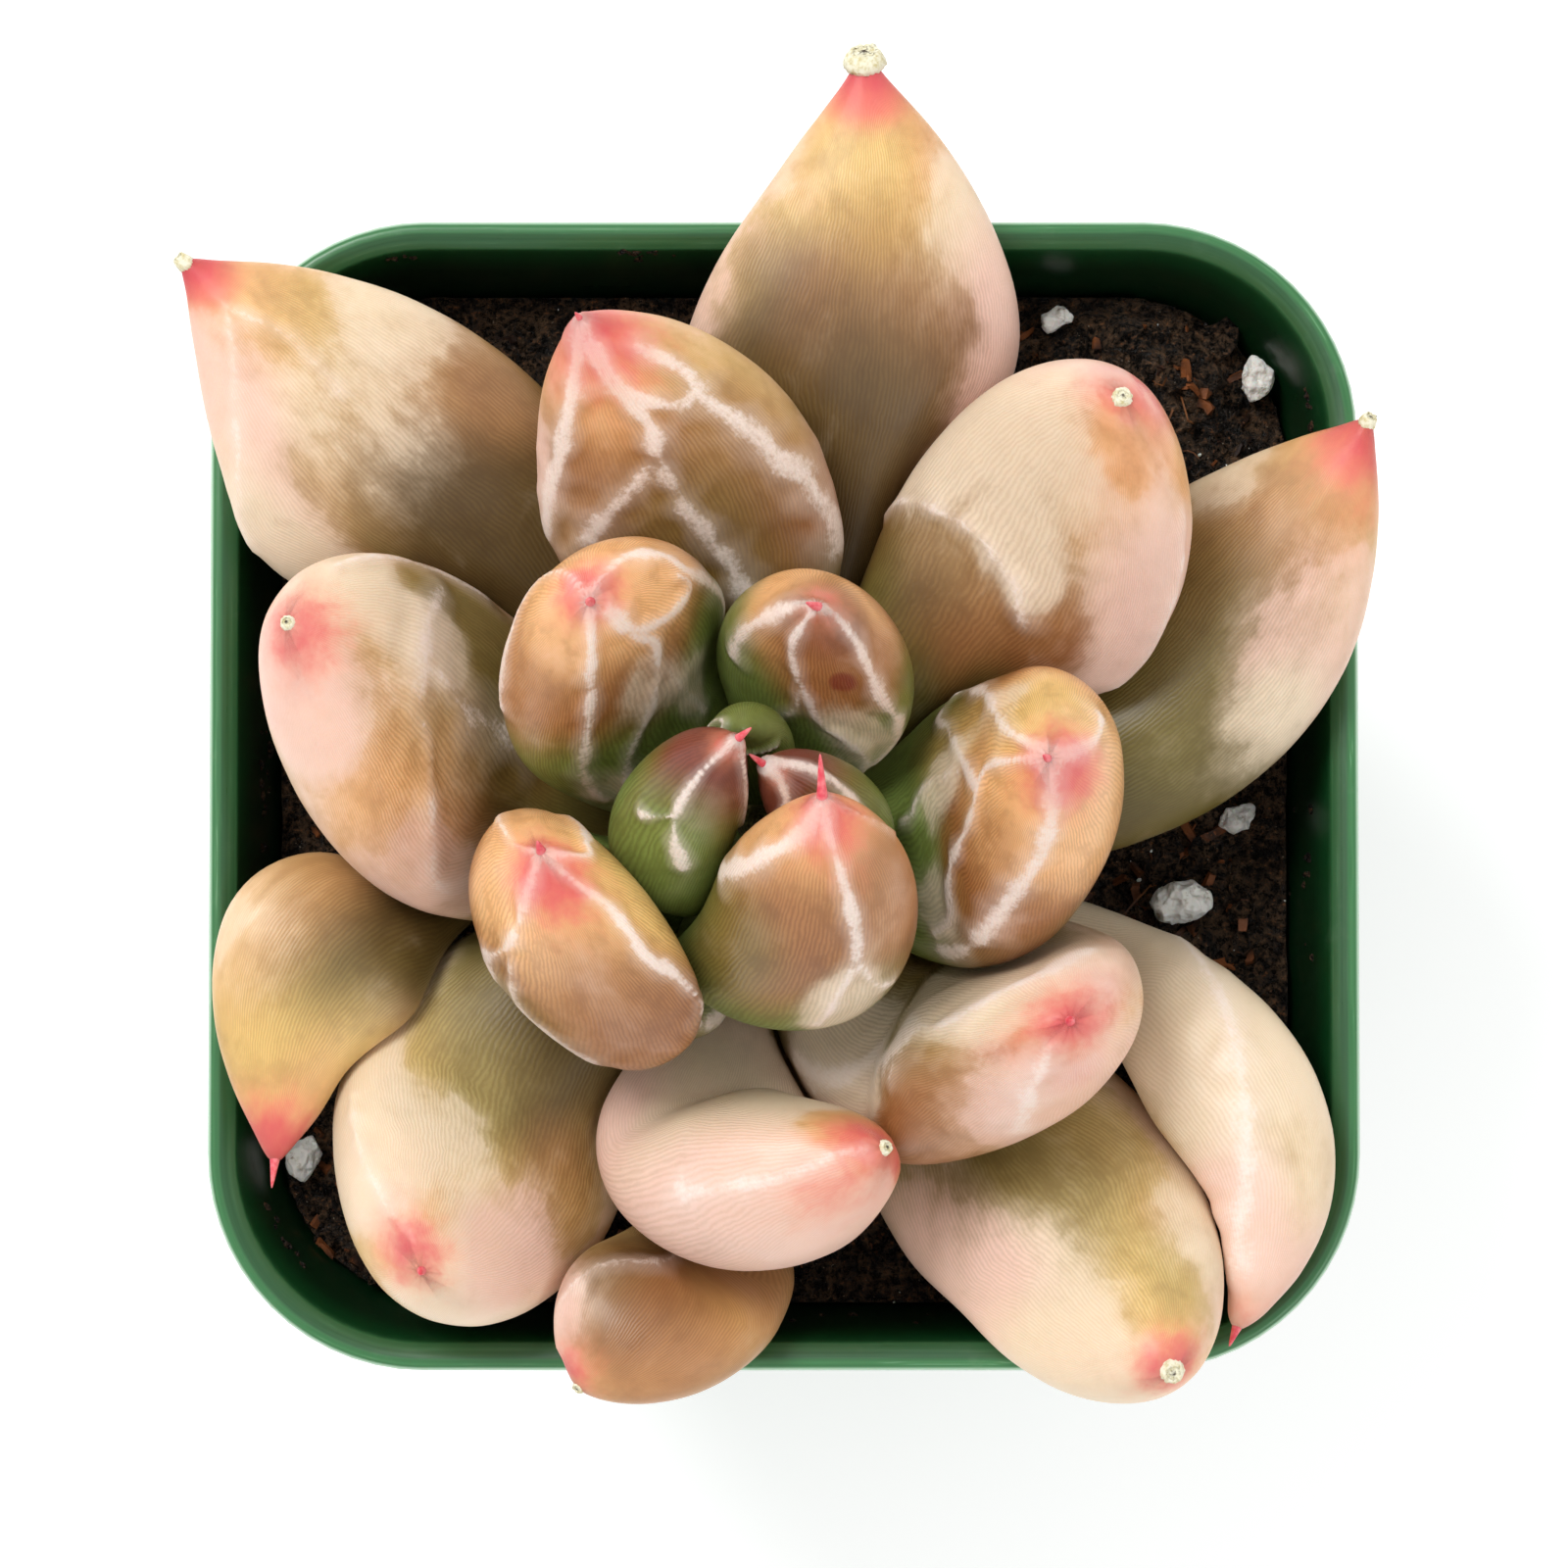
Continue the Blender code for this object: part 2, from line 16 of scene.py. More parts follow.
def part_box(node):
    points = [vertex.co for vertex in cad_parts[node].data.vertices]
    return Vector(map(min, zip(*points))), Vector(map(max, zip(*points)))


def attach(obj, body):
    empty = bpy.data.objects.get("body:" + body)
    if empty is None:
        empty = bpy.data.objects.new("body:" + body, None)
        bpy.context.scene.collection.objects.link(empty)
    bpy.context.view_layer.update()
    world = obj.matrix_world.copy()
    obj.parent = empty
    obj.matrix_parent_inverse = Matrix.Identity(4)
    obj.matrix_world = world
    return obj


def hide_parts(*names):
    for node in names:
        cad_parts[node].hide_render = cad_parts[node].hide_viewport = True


bl_info = {
    "name": "Potted Succulent Finish",
    "version": (1, 0, 0),
    "blender": (4, 5, 0),
    "location": "3D View > Sidebar > Succulent",
    "description": "Leaves, soil, pot and studio for a potted rosette succulent",
    "category": "Object",
}

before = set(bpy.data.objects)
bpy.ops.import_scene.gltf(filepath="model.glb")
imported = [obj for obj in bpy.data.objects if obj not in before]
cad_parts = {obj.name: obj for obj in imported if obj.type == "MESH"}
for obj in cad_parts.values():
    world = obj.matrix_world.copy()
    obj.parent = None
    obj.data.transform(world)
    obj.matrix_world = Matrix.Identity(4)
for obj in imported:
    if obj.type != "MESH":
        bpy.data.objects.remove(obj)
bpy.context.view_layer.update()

MM = 0.001
BODY = "root"
SEED = 7
POT_LOW, POT_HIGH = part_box("pot")
SOIL_LOW, SOIL_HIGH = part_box("soil")
STEM_LOW, STEM_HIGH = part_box("stem")
RIM_TOP = POT_HIGH.z
STEM_MIDDLE = (STEM_LOW + STEM_HIGH) / 2
SOIL_FOOT = SOIL_LOW.z + 3 * MM
RIM_CORNER = 12 * MM
FULL_TURN = 2 * math.pi


def paint(red, green, blue):
    """A paint-chart colour, 0 to 255, as the light values that Blender uses."""
    chart = (red / 255, green / 255, blue / 255)
    return tuple(c / 12.92 if c <= 0.04045 else ((c + 0.055) / 1.055) ** 2.4 for c in chart)


# ---------------------------------------------------------------- settings

def colour_setting(name, description, chart):
    return bpy.props.FloatVectorProperty(
        name=name, description=description, subtype="COLOR", size=3, min=0, max=1, default=paint(*chart)
    )


def length_setting(name, description, millimetres):
    return bpy.props.FloatProperty(
        name=name, description=description, unit="LENGTH", min=0, default=millimetres * MM, precision=5
    )


def share_setting(name, description, share):
    return bpy.props.FloatProperty(
        name=name, description=description, subtype="FACTOR", min=0, max=1, default=share
    )


def count_setting(name, description, count):
    return bpy.props.IntProperty(name=name, description=description, min=0, default=count)


class LeafSettings(bpy.types.PropertyGroup):
    """Colours and sizes of the leaves."""

    smoothing: count_setting("Smoothing", "Subdivision levels of a leaf", 3)
    plumpness: length_setting("Plumpness", "How far the skin stands out from the leaf's core", 0.2)
    waviness: length_setting("Waviness", "Height of the gentle swells in the skin", 0.16)
    ridge: length_setting("Ridge", "Height of the ridges where leaves pressed on each other", 0.28)
    green: colour_setting("Young green", "Leaf bases of the inner leaves", (114, 132, 66))
    olive: colour_setting("Olive", "Leaf bases of the outer leaves", (112, 100, 48))
    shade: colour_setting("Deep brown", "Shaded flesh near the stem", (92, 72, 36))
    brown: colour_setting("Brown", "Flesh in the middle of the inner leaves", (150, 98, 56))
    russet: colour_setting("Russet", "Ends of the youngest leaves", (116, 58, 44))
    tan: colour_setting("Tan", "Flesh in the middle of the outer leaves", (186, 152, 108))
    khaki: colour_setting("Khaki", "Lit flesh between the olive base and the yellow end", (178, 160, 104))
    yellow: colour_setting("Yellow", "Sunlit flesh", (218, 184, 112))
    orange: colour_setting("Orange", "Flesh towards the tips", (230, 176, 120))
    red: colour_setting("Red", "Flush at the tips", (222, 68, 86))
    glow: colour_setting("Glow", "Warm rim of the flush", (240, 146, 108))
    wine: colour_setting("Wine", "Darkest flush", (120, 34, 30))
    cream: colour_setting("Cream coat", "Powdery coat", (240, 220, 194))
    pink: colour_setting("Pink coat", "Powdery coat along the edges", (242, 204, 190))
    line: colour_setting("Rubbed line", "Pale lines that the leaves press on each other", (248, 232, 222))
    bend: length_setting("Ripple bend", "How long a bend is in the fine ripples of the skin", 1.14)


class PotSettings(bpy.types.PropertyGroup):
    """The moulded pot."""

    plastic: colour_setting("Plastic", "Green plastic", (20, 88, 42))
    # The lip colour is painted light: plastic painted paler where light comes through the thin lip.
    lip: colour_setting("Lip", "Plastic where the lip lets light through", (76, 136, 86))
    edge_round: length_setting("Edge rounding", "Radius on the moulded edges", 0.12)


class SoilSettings(bpy.types.PropertyGroup):
    """The potting mix and what lies in it."""

    # Peat is the colour painted on the lit clods; the hollows are painted near black as shade.
    peat: colour_setting("Peat", "Damp peat", (104, 80, 58))
    bark: colour_setting("Bark", "Chips of bark", (138, 80, 42))
    grit: colour_setting("Grit", "Perlite and grit", (238, 236, 230))
    grain: length_setting("Grain", "Spacing of the soil's mesh", 0.45)
    lumps: count_setting("Lumps", "Larger crumbs of peat", 900)
    crumbs: count_setting("Crumbs", "Small crumbs of peat", 2600)
    chips: count_setting("Chips", "Chips of bark", 1500)
    fibres: count_setting("Fibres", "Loose fibres", 420)
    glints: count_setting("Glints", "Small bright grains", 220)


class StageSettings(bpy.types.PropertyGroup):
    """Floor, lights and camera."""

    floor: colour_setting("Floor", "Floor colour", (246, 246, 246))
    floor_glow: share_setting("Floor glow", "Light that the tabletop gives of itself", 0.35)
    room_light: bpy.props.FloatProperty(
        name="Room light", description="Light from all round", min=0, default=0.74
    )
    key_light: bpy.props.FloatProperty(
        name="Key light", description="Power of the large lamp", unit="POWER", min=0, default=1.5
    )
    camera_height: length_setting("Camera distance", "From the plant to the camera", 242.2)
    camera_tilt: bpy.props.FloatProperty(
        name="Camera tilt", description="Lean of the camera from straight above", subtype="ANGLE",
        default=math.radians(2),
    )


# ---------------------------------------------------------------- materials

class Value:
    """A number that changes over a surface, so that a mask is written as a sum."""

    def __init__(self, finish, socket):
        self.finish = finish
        self.socket = socket

    def __add__(self, other):
        return self.finish.math("ADD", self, other)

    def __radd__(self, other):
        return self.finish.math("ADD", other, self)

    def __sub__(self, other):
        return self.finish.math("SUBTRACT", self, other)

    def __rsub__(self, other):
        return self.finish.math("SUBTRACT", other, self)

    def __mul__(self, other):
        return self.finish.math("MULTIPLY", self, other)

    def __rmul__(self, other):
        return self.finish.math("MULTIPLY", other, self)

    def __pow__(self, other):
        return self.finish.math("POWER", self, other)

    def __abs__(self):
        return self.finish.math("ABSOLUTE", self, 0.0)


class Finish:
    """A material and the nodes that make it."""

    def __init__(self, name, **constants):
        self.material = bpy.data.materials.new(name)
        self.material.use_nodes = True
        self.tree = self.material.node_tree
        self.shader = self.tree.nodes["Principled BSDF"]
        for socket, value in constants.items():
            self.shader.inputs[socket.replace("_", " ")].default_value = value

    def node(self, kind, settings, values, out=0):
        """Adds a node. Its settings come first, and then its sockets get their numbers or links."""
        made = self.tree.nodes.new("ShaderNode" + kind)
        for name, setting in settings.items():
            setattr(made, name, setting)
        for socket, value in values.items():
            self.put(made.inputs[socket], value)
        return Value(self, made.outputs[out])

    def put(self, socket, value):
        if isinstance(value, Value):
            self.tree.links.new(value.socket, socket)
        elif socket.type == "RGBA" and len(value) == 3:
            socket.default_value = (*value, 1)
        else:
            socket.default_value = value

    def wire(self, **links):
        """Feeds the shader's own sockets."""
        for socket, value in links.items():
            self.put(self.shader.inputs[socket.replace("_", " ")], value)

    def math(self, operation, first, second):
        return self.node("Math", {"operation": operation}, {0: first, 1: second})

    def position(self):
        return self.node("TexCoord", {}, {}, "Object")

    def part(self, vector, axis):
        return self.node("SeparateXYZ", {}, {0: vector}, axis)

    def attribute(self, name, out):
        return self.node("Attribute", {"attribute_name": name}, {}, out)

    def drawn_out(self, vector, share):
        """A vector squeezed upwards, which draws a pattern out that way."""
        return self.node("VectorMath", {"operation": "MULTIPLY"}, {0: vector, 1: (1.0, 1.0, share)})

    def noise(self, vector, pitch, detail=2.0, roughness=0.5, distortion=0.0):
        sockets = {"Vector": vector, "Scale": 1 / pitch, "Detail": detail, "Roughness": roughness}
        return self.node("TexNoise", {}, {**sockets, "Distortion": distortion}, "Fac")

    def cells(self, vector, pitch, feature="F1"):
        return self.node("TexVoronoi", {"feature": feature}, {"Vector": vector, "Scale": 1 / pitch}, "Distance")

    def between(self, value, low, high):
        """0 below low, 1 above high, and a soft step from one to the other."""
        sockets = {"Value": value, "From Min": low, "From Max": high}
        return self.node("MapRange", {"interpolation_type": "SMOOTHSTEP"}, sockets)

    def mix(self, share, under, over, blend="MIX"):
        settings = {"data_type": "RGBA", "blend_type": blend, "clamp_factor": True}
        return self.node("Mix", settings, {0: share, 6: under, 7: over}, 2)

    def bump(self, height, depth, strength=1.0):
        return self.node("Bump", {}, {"Height": height, "Distance": depth, "Strength": strength}, "Normal")


# How much wider than deep a leaf is, and how far the ripples wander.
LEAF_FLATNESS = 1.8
RIPPLE_WANDER = 15.0


def leaf_finish(name, look, rough, ripple_share, ripples):
    """Succulent skin: flesh colours under a powdery coat, with fine ripples that run from root to tip."""
    skin = Finish(name, Subsurface_Weight=0.14, Subsurface_Radius=(1.0, 0.45, 0.25), Subsurface_Scale=0.9 * MM,
                  Specular_IOR_Level=0.5, Coat_Weight=0.18, Coat_Roughness=0.22)
    place = skin.attribute("place", "Vector")
    around = skin.math("ARCTAN2", skin.part(place, 1) * LEAF_FLATNESS, skin.part(place, 0))
    wobble = skin.noise(skin.drawn_out(place, 0.5), look.bend, 3.0, 0.6) * RIPPLE_WANDER
    ripple = skin.math("SINE", around * float(ripples) + wobble, 0.0) * 0.5 + 0.5
    cloud = skin.noise(skin.drawn_out(place, 0.6), 3.6 * MM, 5.0, 0.62, 0.3)
    mottle = skin.noise(skin.drawn_out(place, 0.7), 1.3 * MM, 4.0, 0.6)
    broken = skin.between(mottle, 0.30, 0.55)
    grain = skin.noise(place, 0.14 * MM, 1.0)

    flesh = skin.attribute("flesh", "Color")
    lighter = skin.mix(1.0, flesh, (1.18, 1.18, 1.16), "MULTIPLY")
    darker = skin.mix(1.0, flesh, (0.74, 0.67, 0.60), "MULTIPLY")
    depth = ripple * broken * ripple_share + skin.between(cloud, 0.30, 0.70) * 0.45 + 0.12
    colour = skin.mix(depth, darker, lighter)

    coat = skin.attribute("coat", "Color")
    amount = skin.attribute("coat", "Alpha")
    laid_on = amount + (cloud - 0.5) * 1.1 + (mottle - 0.5) * 0.35
    veil = skin.between(laid_on, 0.10, 0.95) * 0.74 + skin.between(laid_on, 0.42, 0.56) * 0.18
    powder = veil * (0.84 + (ripple - 0.5) * 0.20 + (mottle - 0.5) * 0.2 + (grain - 0.5) * 0.14)
    colour = skin.mix(powder, colour, coat)

    flush = skin.attribute("flush", "Fac")
    feather = skin.noise(skin.drawn_out(place, 0.3), 0.8 * MM, 3.0, 0.6)
    uneven = (feather - 0.5) * 0.9 + (cloud - 0.5) * 0.5
    colour = skin.mix(skin.between(flush + uneven, -0.35, 0.8) * 0.5, colour, look.glow)
    colour = skin.mix(skin.between(flush + uneven, 0.1, 1.3) * 0.8, colour, look.red)
    stain = skin.attribute("stain", "Fac")
    colour = skin.mix(skin.between(stain + (feather - 0.5) * 0.6, 0.1, 0.9) * 0.8, colour, look.wine)

    lines = skin.attribute("lines", "Fac")
    ragged = skin.noise(place, 0.30 * MM, 3.0, 0.7)
    drawn = skin.between(lines + (ragged - 0.5) * 1.2 + (mottle - 0.5) * 1.1, -0.1, 0.75)
    drawn = drawn * (1 - skin.between(flush, -0.1, 0.9) * 0.6)
    halo = skin.between(lines + (mottle - 0.5) * 1.0, -1.6, 0.5)
    colour = skin.mix(halo * 0.20, colour, look.line)
    colour = skin.mix(drawn * (0.76 + (grain - 0.5) * 0.4), colour, look.line)

    height = ripple * 0.6 + mottle * 0.5 + drawn * 0.3 + grain * 0.1
    skin.wire(
        Base_Color=colour,
        Roughness=rough + veil * 0.12 + drawn * 0.1 - ripple * 0.05,
        Normal=skin.bump(height, 0.02 * MM, 0.9),
    )
    return skin.material


def plastic_finish(look):
    """Moulded green plastic: painted shade on the inner walls, darker further down them, and a lip painted
    paler where light comes through it, drawn into fine streaks with painted highlights on them and along its
    edge.
    """
    skin = Finish("green_plastic", Specular_IOR_Level=0.5, Subsurface_Weight=0.12, Subsurface_Scale=0.8 * MM)
    place = skin.position()
    half = (POT_HIGH.x - POT_LOW.x) / 2
    middle = (POT_HIGH + POT_LOW) / 2

    def outside(axis):
        return skin.math("MAXIMUM", abs(skin.part(place, axis) - middle[axis]) - (half - RIM_CORNER), 0.0)

    height = skin.part(place, 2)
    inset = RIM_CORNER - (outside(0) ** 2 + outside(1) ** 2) ** 0.5
    along = skin.noise(skin.drawn_out(place, 0.2), 14 * MM, 2.0)
    streaks = skin.node("CombineXYZ", {}, {0: inset, 1: along * 0.9 * MM, 2: height * 0.4})
    fine = skin.noise(streaks, 0.16 * MM, 3.0, 0.6)
    broad = skin.noise(streaks, 0.6 * MM, 2.0)
    below = RIM_TOP - height
    top = skin.between(below, 1.2 * MM, 0.2 * MM)
    edge = skin.between(inset, 0.28 * MM, 0.05 * MM)
    # Painted light on the lip's top: paler where light comes through it, with painted highlights on its fine
    # streaks and along its outer edge.
    pale = top * (0.62 + (fine - 0.5) * 1.1 + (broad - 0.5) * 0.6) + edge * top * 0.3
    wear = skin.between(skin.noise(place, 2.2 * MM, 6.0, 0.7), 0.56, 0.72)
    colour = skin.mix(pale, look.plastic, look.lip)
    colour = skin.mix(skin.between(fine, 0.60, 0.78) * top * 0.5, colour, paint(170, 214, 178))
    colour = skin.mix(edge * top * 0.7, colour, paint(190, 226, 196))
    colour = skin.mix(wear * 0.12, colour, paint(120, 160, 120))
    # Painted shade: the inner walls and the inner side of the lip are mixed towards a dark green, the more the
    # further below the rim.
    facing = skin.node("TexCoord", {}, {}, "Normal")
    outward = [(skin.part(place, axis) - middle[axis]) * skin.part(facing, axis) for axis in (0, 1)]
    inner_wall = skin.between(outward[0] + outward[1], -2 * MM, -8 * MM)
    inner_lip = skin.between(inset, 0.5 * MM, 0.8 * MM) * skin.between(below, 0.8 * MM, 0.2 * MM)
    painted_shade_inside = skin.math("MAXIMUM", inner_wall, inner_lip)
    deep = skin.between(below, 0.3 * MM, 4.5 * MM)
    colour = skin.mix(painted_shade_inside * (0.50 + deep * 0.42), colour, paint(8, 34, 16))
    pebble = skin.noise(place, 0.5 * MM, 3.0)
    skin.wire(
        Base_Color=colour,
        Roughness=0.30 + wear * 0.18 + (fine - 0.5) * 0.12,
        Normal=skin.bump(fine * 0.5 + pebble * 0.3, 0.02 * MM, 0.7),
    )
    return skin.material


def soil_finish(name, look, pitch):
    """Damp peat: near black, with painted shade in the hollows and painted light on the raised clods,
    rust-brown threads and painted wet glints.
    """
    skin = Finish(name, Specular_IOR_Level=0.4)
    place = skin.position()
    clods = skin.noise(place, 1.4 * MM, 6.0, 0.7)
    grains = skin.noise(place, pitch, 4.0, 0.75)
    motes = skin.noise(place, 0.22 * MM, 2.0, 0.6)
    threads = skin.between(abs(skin.noise(place, 0.9 * MM, 3.0, 0.6, 1.2) - 0.5), 0.03, 0.0)
    # Painted light and shade: the raised clods and grains, which the bump also lifts, are painted lighter, and
    # the hollows between them near black.
    painted_lit_clods = skin.between(clods * 0.45 + grains * 0.55, 0.44, 0.62)
    colour = skin.mix(painted_lit_clods, paint(16, 13, 10), look.peat)
    rust = skin.between(grains, 0.55, 0.68)
    colour = skin.mix(rust * skin.between(motes, 0.50, 0.62) * 0.8, colour, paint(150, 92, 52))
    colour = skin.mix(threads * rust * 0.7, colour, paint(168, 110, 64))
    # Painted glints: tiny bright specks that stand in for highlights on the wet peat.
    colour = skin.mix(skin.between(motes, 0.70, 0.76) * 0.7, colour, paint(214, 200, 178))
    wet = skin.between(grains, 0.60, 0.42)
    skin.wire(
        Base_Color=colour,
        Roughness=0.60 - wet * 0.36,
        Normal=skin.bump(clods * 0.8 + grains * 0.9, 0.9 * MM, 1.0),
    )
    return skin.material


def bark_finish(name, pale, dark, pitch):
    """Splintered wood: fibres along the chip, pale on the torn faces."""
    skin = Finish(name, Specular_IOR_Level=0.4)
    place = skin.position()
    tone = skin.noise(place, 2.6 * MM, 2.0)
    fibre = skin.noise(place, pitch, 4.0, 0.7, 0.8)
    colour = skin.mix(skin.between(tone, 0.38, 0.66), dark, pale)
    colour = skin.mix(skin.between(fibre, 0.58, 0.72) * 0.6, colour, tuple(min(1.0, c * 1.9) for c in pale))
    skin.wire(Base_Color=colour, Roughness=0.62 - fibre * 0.25, Normal=skin.bump(fibre, 0.12 * MM, 0.8))
    return skin.material


def grit_finish(name, look):
    """Expanded mineral grain: chalk white, with pores and a little soil in the hollows."""
    skin = Finish(name, Specular_IOR_Level=0.4, Subsurface_Weight=0.15, Subsurface_Scale=0.5 * MM)
    place = skin.position()
    pores = skin.cells(place, 0.45 * MM)
    dust = skin.noise(place, 0.7 * MM, 5.0, 0.7)
    colour = skin.mix(skin.between(dust, 0.52, 0.70) * 0.75, look.grit, paint(166, 152, 132))
    colour = skin.mix(skin.between(dust, 0.66, 0.74), colour, paint(52, 40, 30))
    rough_skin = skin.bump(pores * 0.8 + dust * 0.5, 0.10 * MM, 0.9)
    skin.wire(Base_Color=colour, Roughness=0.82 - dust * 0.2, Normal=rough_skin)
    return skin.material


def callus_finish():
    """A dried leaf point: corky cream with a brown scar at the middle."""
    skin = Finish("dried_point", Specular_IOR_Level=0.3)
    place = skin.position()
    cork = skin.noise(place, 0.35 * MM, 4.0, 0.7)
    scar = skin.attribute("scar", "Fac")
    colour = skin.mix(skin.between(cork, 0.4, 0.72), paint(242, 238, 214), paint(206, 192, 138))
    colour = skin.mix(skin.between(scar + (cork - 0.5) * 0.8, 0.35, 0.75), colour, paint(64, 52, 44))
    skin.wire(Base_Color=colour, Roughness=0.75 - cork * 0.1, Normal=skin.bump(cork, 0.08 * MM, 0.8))
    return skin.material


def spike_finish(look):
    """The soft point at the end of a young leaf: translucent rose that fades into the leaf."""
    skin = Finish("rosy_point", Specular_IOR_Level=0.5, Subsurface_Weight=0.3,
                  Subsurface_Radius=(1.0, 0.3, 0.25), Subsurface_Scale=0.5 * MM)
    streak = skin.noise(skin.drawn_out(skin.position(), 0.4), 0.4 * MM, 3.0)
    colour = skin.mix(skin.between(streak, 0.35, 0.7), paint(240, 128, 132), look.red)
    skin.wire(Base_Color=colour, Roughness=0.42 + streak * 0.1, Normal=skin.bump(streak, 0.03 * MM, 0.5))
    return skin.material


def stem_finish():
    """A woody little stem: grey-brown skin with cracks and leaf scars."""
    skin = Finish("woody_stem", Specular_IOR_Level=0.3)
    place = skin.position()
    cracks = skin.cells(skin.drawn_out(place, 2.2), 0.9 * MM, "DISTANCE_TO_EDGE")
    bark = skin.noise(place, 0.6 * MM, 5.0, 0.7)
    colour = skin.mix(skin.between(bark, 0.4, 0.65), paint(74, 60, 36), paint(118, 110, 66))
    colour = skin.mix(skin.between(cracks, 0.10, 0.0) * 0.7, colour, paint(44, 32, 22))
    cracked = skin.bump(cracks + bark * 0.6, 0.2 * MM, 0.8)
    skin.wire(Base_Color=colour, Roughness=0.7 + bark * 0.15, Normal=cracked)
    return skin.material


def floor_finish(look):
    """A matt pale tabletop."""
    skin = Finish("pale_floor", Specular_IOR_Level=0.1, Emission_Strength=look.floor_glow)
    tone = skin.noise(skin.position(), 30 * MM, 2.0)
    colour = skin.mix(tone * 0.03, look.floor, paint(238, 238, 238))
    skin.wire(Base_Color=colour, Emission_Color=colour, Roughness=0.9 + tone * 0.05)
    return skin.material


# ---------------------------------------------------------------- modelling by hand

def deselect():
    """Leaves object mode with nothing selected."""
    if bpy.context.object and bpy.context.object.mode != "OBJECT":
        bpy.ops.object.mode_set(mode="OBJECT")
    bpy.ops.object.select_all(action="DESELECT")


def take(obj):
    """Selects one object alone and makes it active."""
    deselect()
    bpy.context.view_layer.objects.active = obj
    obj.select_set(True)
    return obj


def edit(obj, *steps):
    """Runs steps in edit mode with the whole mesh selected before each."""
    take(obj)
    bpy.ops.object.mode_set(mode="EDIT")
    bpy.ops.mesh.select_mode(type="VERT")
    for step in steps:
        bpy.ops.mesh.select_all(action="SELECT")
        step()
    bpy.ops.object.mode_set(mode="OBJECT")


def modify(obj, kind, **settings):
    """Adds a modifier, sets it and applies it."""
    take(obj)
    modifier = obj.modifiers.new(kind.lower(), kind)
    for name, setting in settings.items():
        setattr(modifier, name, setting)
    bpy.ops.object.modifier_apply(modifier=modifier.name)


def subdivide(obj, levels):
    modify(obj, "SUBSURF", levels=levels, render_levels=levels, use_limit_surface=True)


def roughen(piece, texture, height, level=0.5, **settings):
    """Raises and sinks the surface by a texture."""
    settings.update(texture=texture, texture_coords="LOCAL", strength=height, mid_level=level)
    modify(piece, "DISPLACE", **settings)


def clouds(name, pitch, depth=2):
    """A cloudy height for the Displace modifier."""
    texture = bpy.data.textures.new(name, "CLOUDS")
    texture.noise_scale = pitch
    texture.noise_depth = depth
    return texture


def cloned(node, name):
    """A piece that starts as a merged copy of a fixed node's mesh."""
    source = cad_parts[node]
    piece = bpy.data.objects.new(name, source.data.copy())
    bpy.context.scene.collection.objects.link(piece)
    edit(piece, lambda: bpy.ops.mesh.remove_doubles(threshold=1e-6))
    return piece


def place_in_mesh(obj):
    """Moves an object's place, turn and size into its mesh."""
    take(obj)
    bpy.ops.object.transform_apply(location=True, rotation=True, scale=True)


def finished(piece, material, slot, *nodes):
    """The last step of each piece: its material, its body and what it stands for."""
    piece.data.materials.clear()
    piece.data.materials.append(material)
    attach(piece, BODY)
    if nodes:
        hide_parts(*nodes)


def smooth(piece, angle=180):
    take(piece)
    bpy.ops.object.shade_smooth_by_angle(angle=math.radians(angle))


def read_floats(mesh, name, width):
    """An attribute of a mesh as rows of numbers."""
    field = {1: "value", 3: "vector", 4: "color"}[width]
    values = np.zeros(len(mesh.vertices) * width, np.float32)
    mesh.attributes[name].data.foreach_get(field, values)
    return values.reshape(-1, width)


def write_floats(mesh, name, values):
    """Rows of numbers as an attribute of a mesh."""
    values = np.asarray(values, np.float32).reshape(len(mesh.vertices), -1)
    width = values.shape[1]
    kind, field = {1: ("FLOAT", "value"), 3: ("FLOAT_VECTOR", "vector"), 4: ("FLOAT_COLOR", "color")}[width]
    layer = mesh.attributes.get(name) or mesh.attributes.new(name, kind, "POINT")
    layer.data.foreach_set(field, values.ravel())


def corners(mesh):
    """Where the vertices of a mesh are."""
    places = np.zeros(len(mesh.vertices) * 3, np.float32)
    mesh.vertices.foreach_get("co", places)
    return places.reshape(-1, 3)


# ---------------------------------------------------------------- leaves

def leaf_rings(mesh):
    """The rings of a leaf from root to tip, each from the left edge over the upper face."""
    neighbours = [set() for _ in mesh.vertices]
    for one, other in (edge.vertices for edge in mesh.edges):
        neighbours[one].add(other)
        neighbours[other].add(one)
    places = corners(mesh)
    poles = sorted(range(len(neighbours)), key=lambda v: -len(neighbours[v]))[:2]
    root, tip = sorted(poles, key=lambda v: places[v][2])
    rings, seen = [[root]], {root}
    while len(seen) < len(neighbours):
        fresh = {n for v in rings[-1] for n in neighbours[v]} - seen
        seen |= fresh
        rings.append(fresh)
    outward = places[root] - np.array(STEM_MIDDLE)
    left = np.array((-outward[1], outward[0], 0.0))
    ordered = [np.array([root])]
    for k, ring in enumerate(rings[1:-1], 1):
        walk = [next(iter(sorted(ring)))]
        while len(walk) < len(ring):
            walk.append(next(n for n in sorted(neighbours[walk[-1]]) if n in ring and n not in walk))
        walk = np.array(walk)
        middle = places[walk].mean(0)
        ahead = places[list(rings[k + 1])].mean(0) - places[list(rings[k - 1])].mean(0)
        arms = places[walk] - middle
        swept = np.cross(arms, np.roll(arms, -1, 0)).sum(0)
        if swept @ ahead < 0:
            walk = walk[::-1]
            arms = arms[::-1]
        if k == 1:
            start = int(np.argmax(arms @ left))
        else:
            last = places[ordered[-1]] - places[ordered[-1]].mean(0)
            start = min(range(len(walk)), key=lambda s: np.abs(np.roll(arms, -s, 0) - last).sum())
        ordered.append(np.roll(walk, -start))
    ordered.append(np.array([tip]))
    return ordered


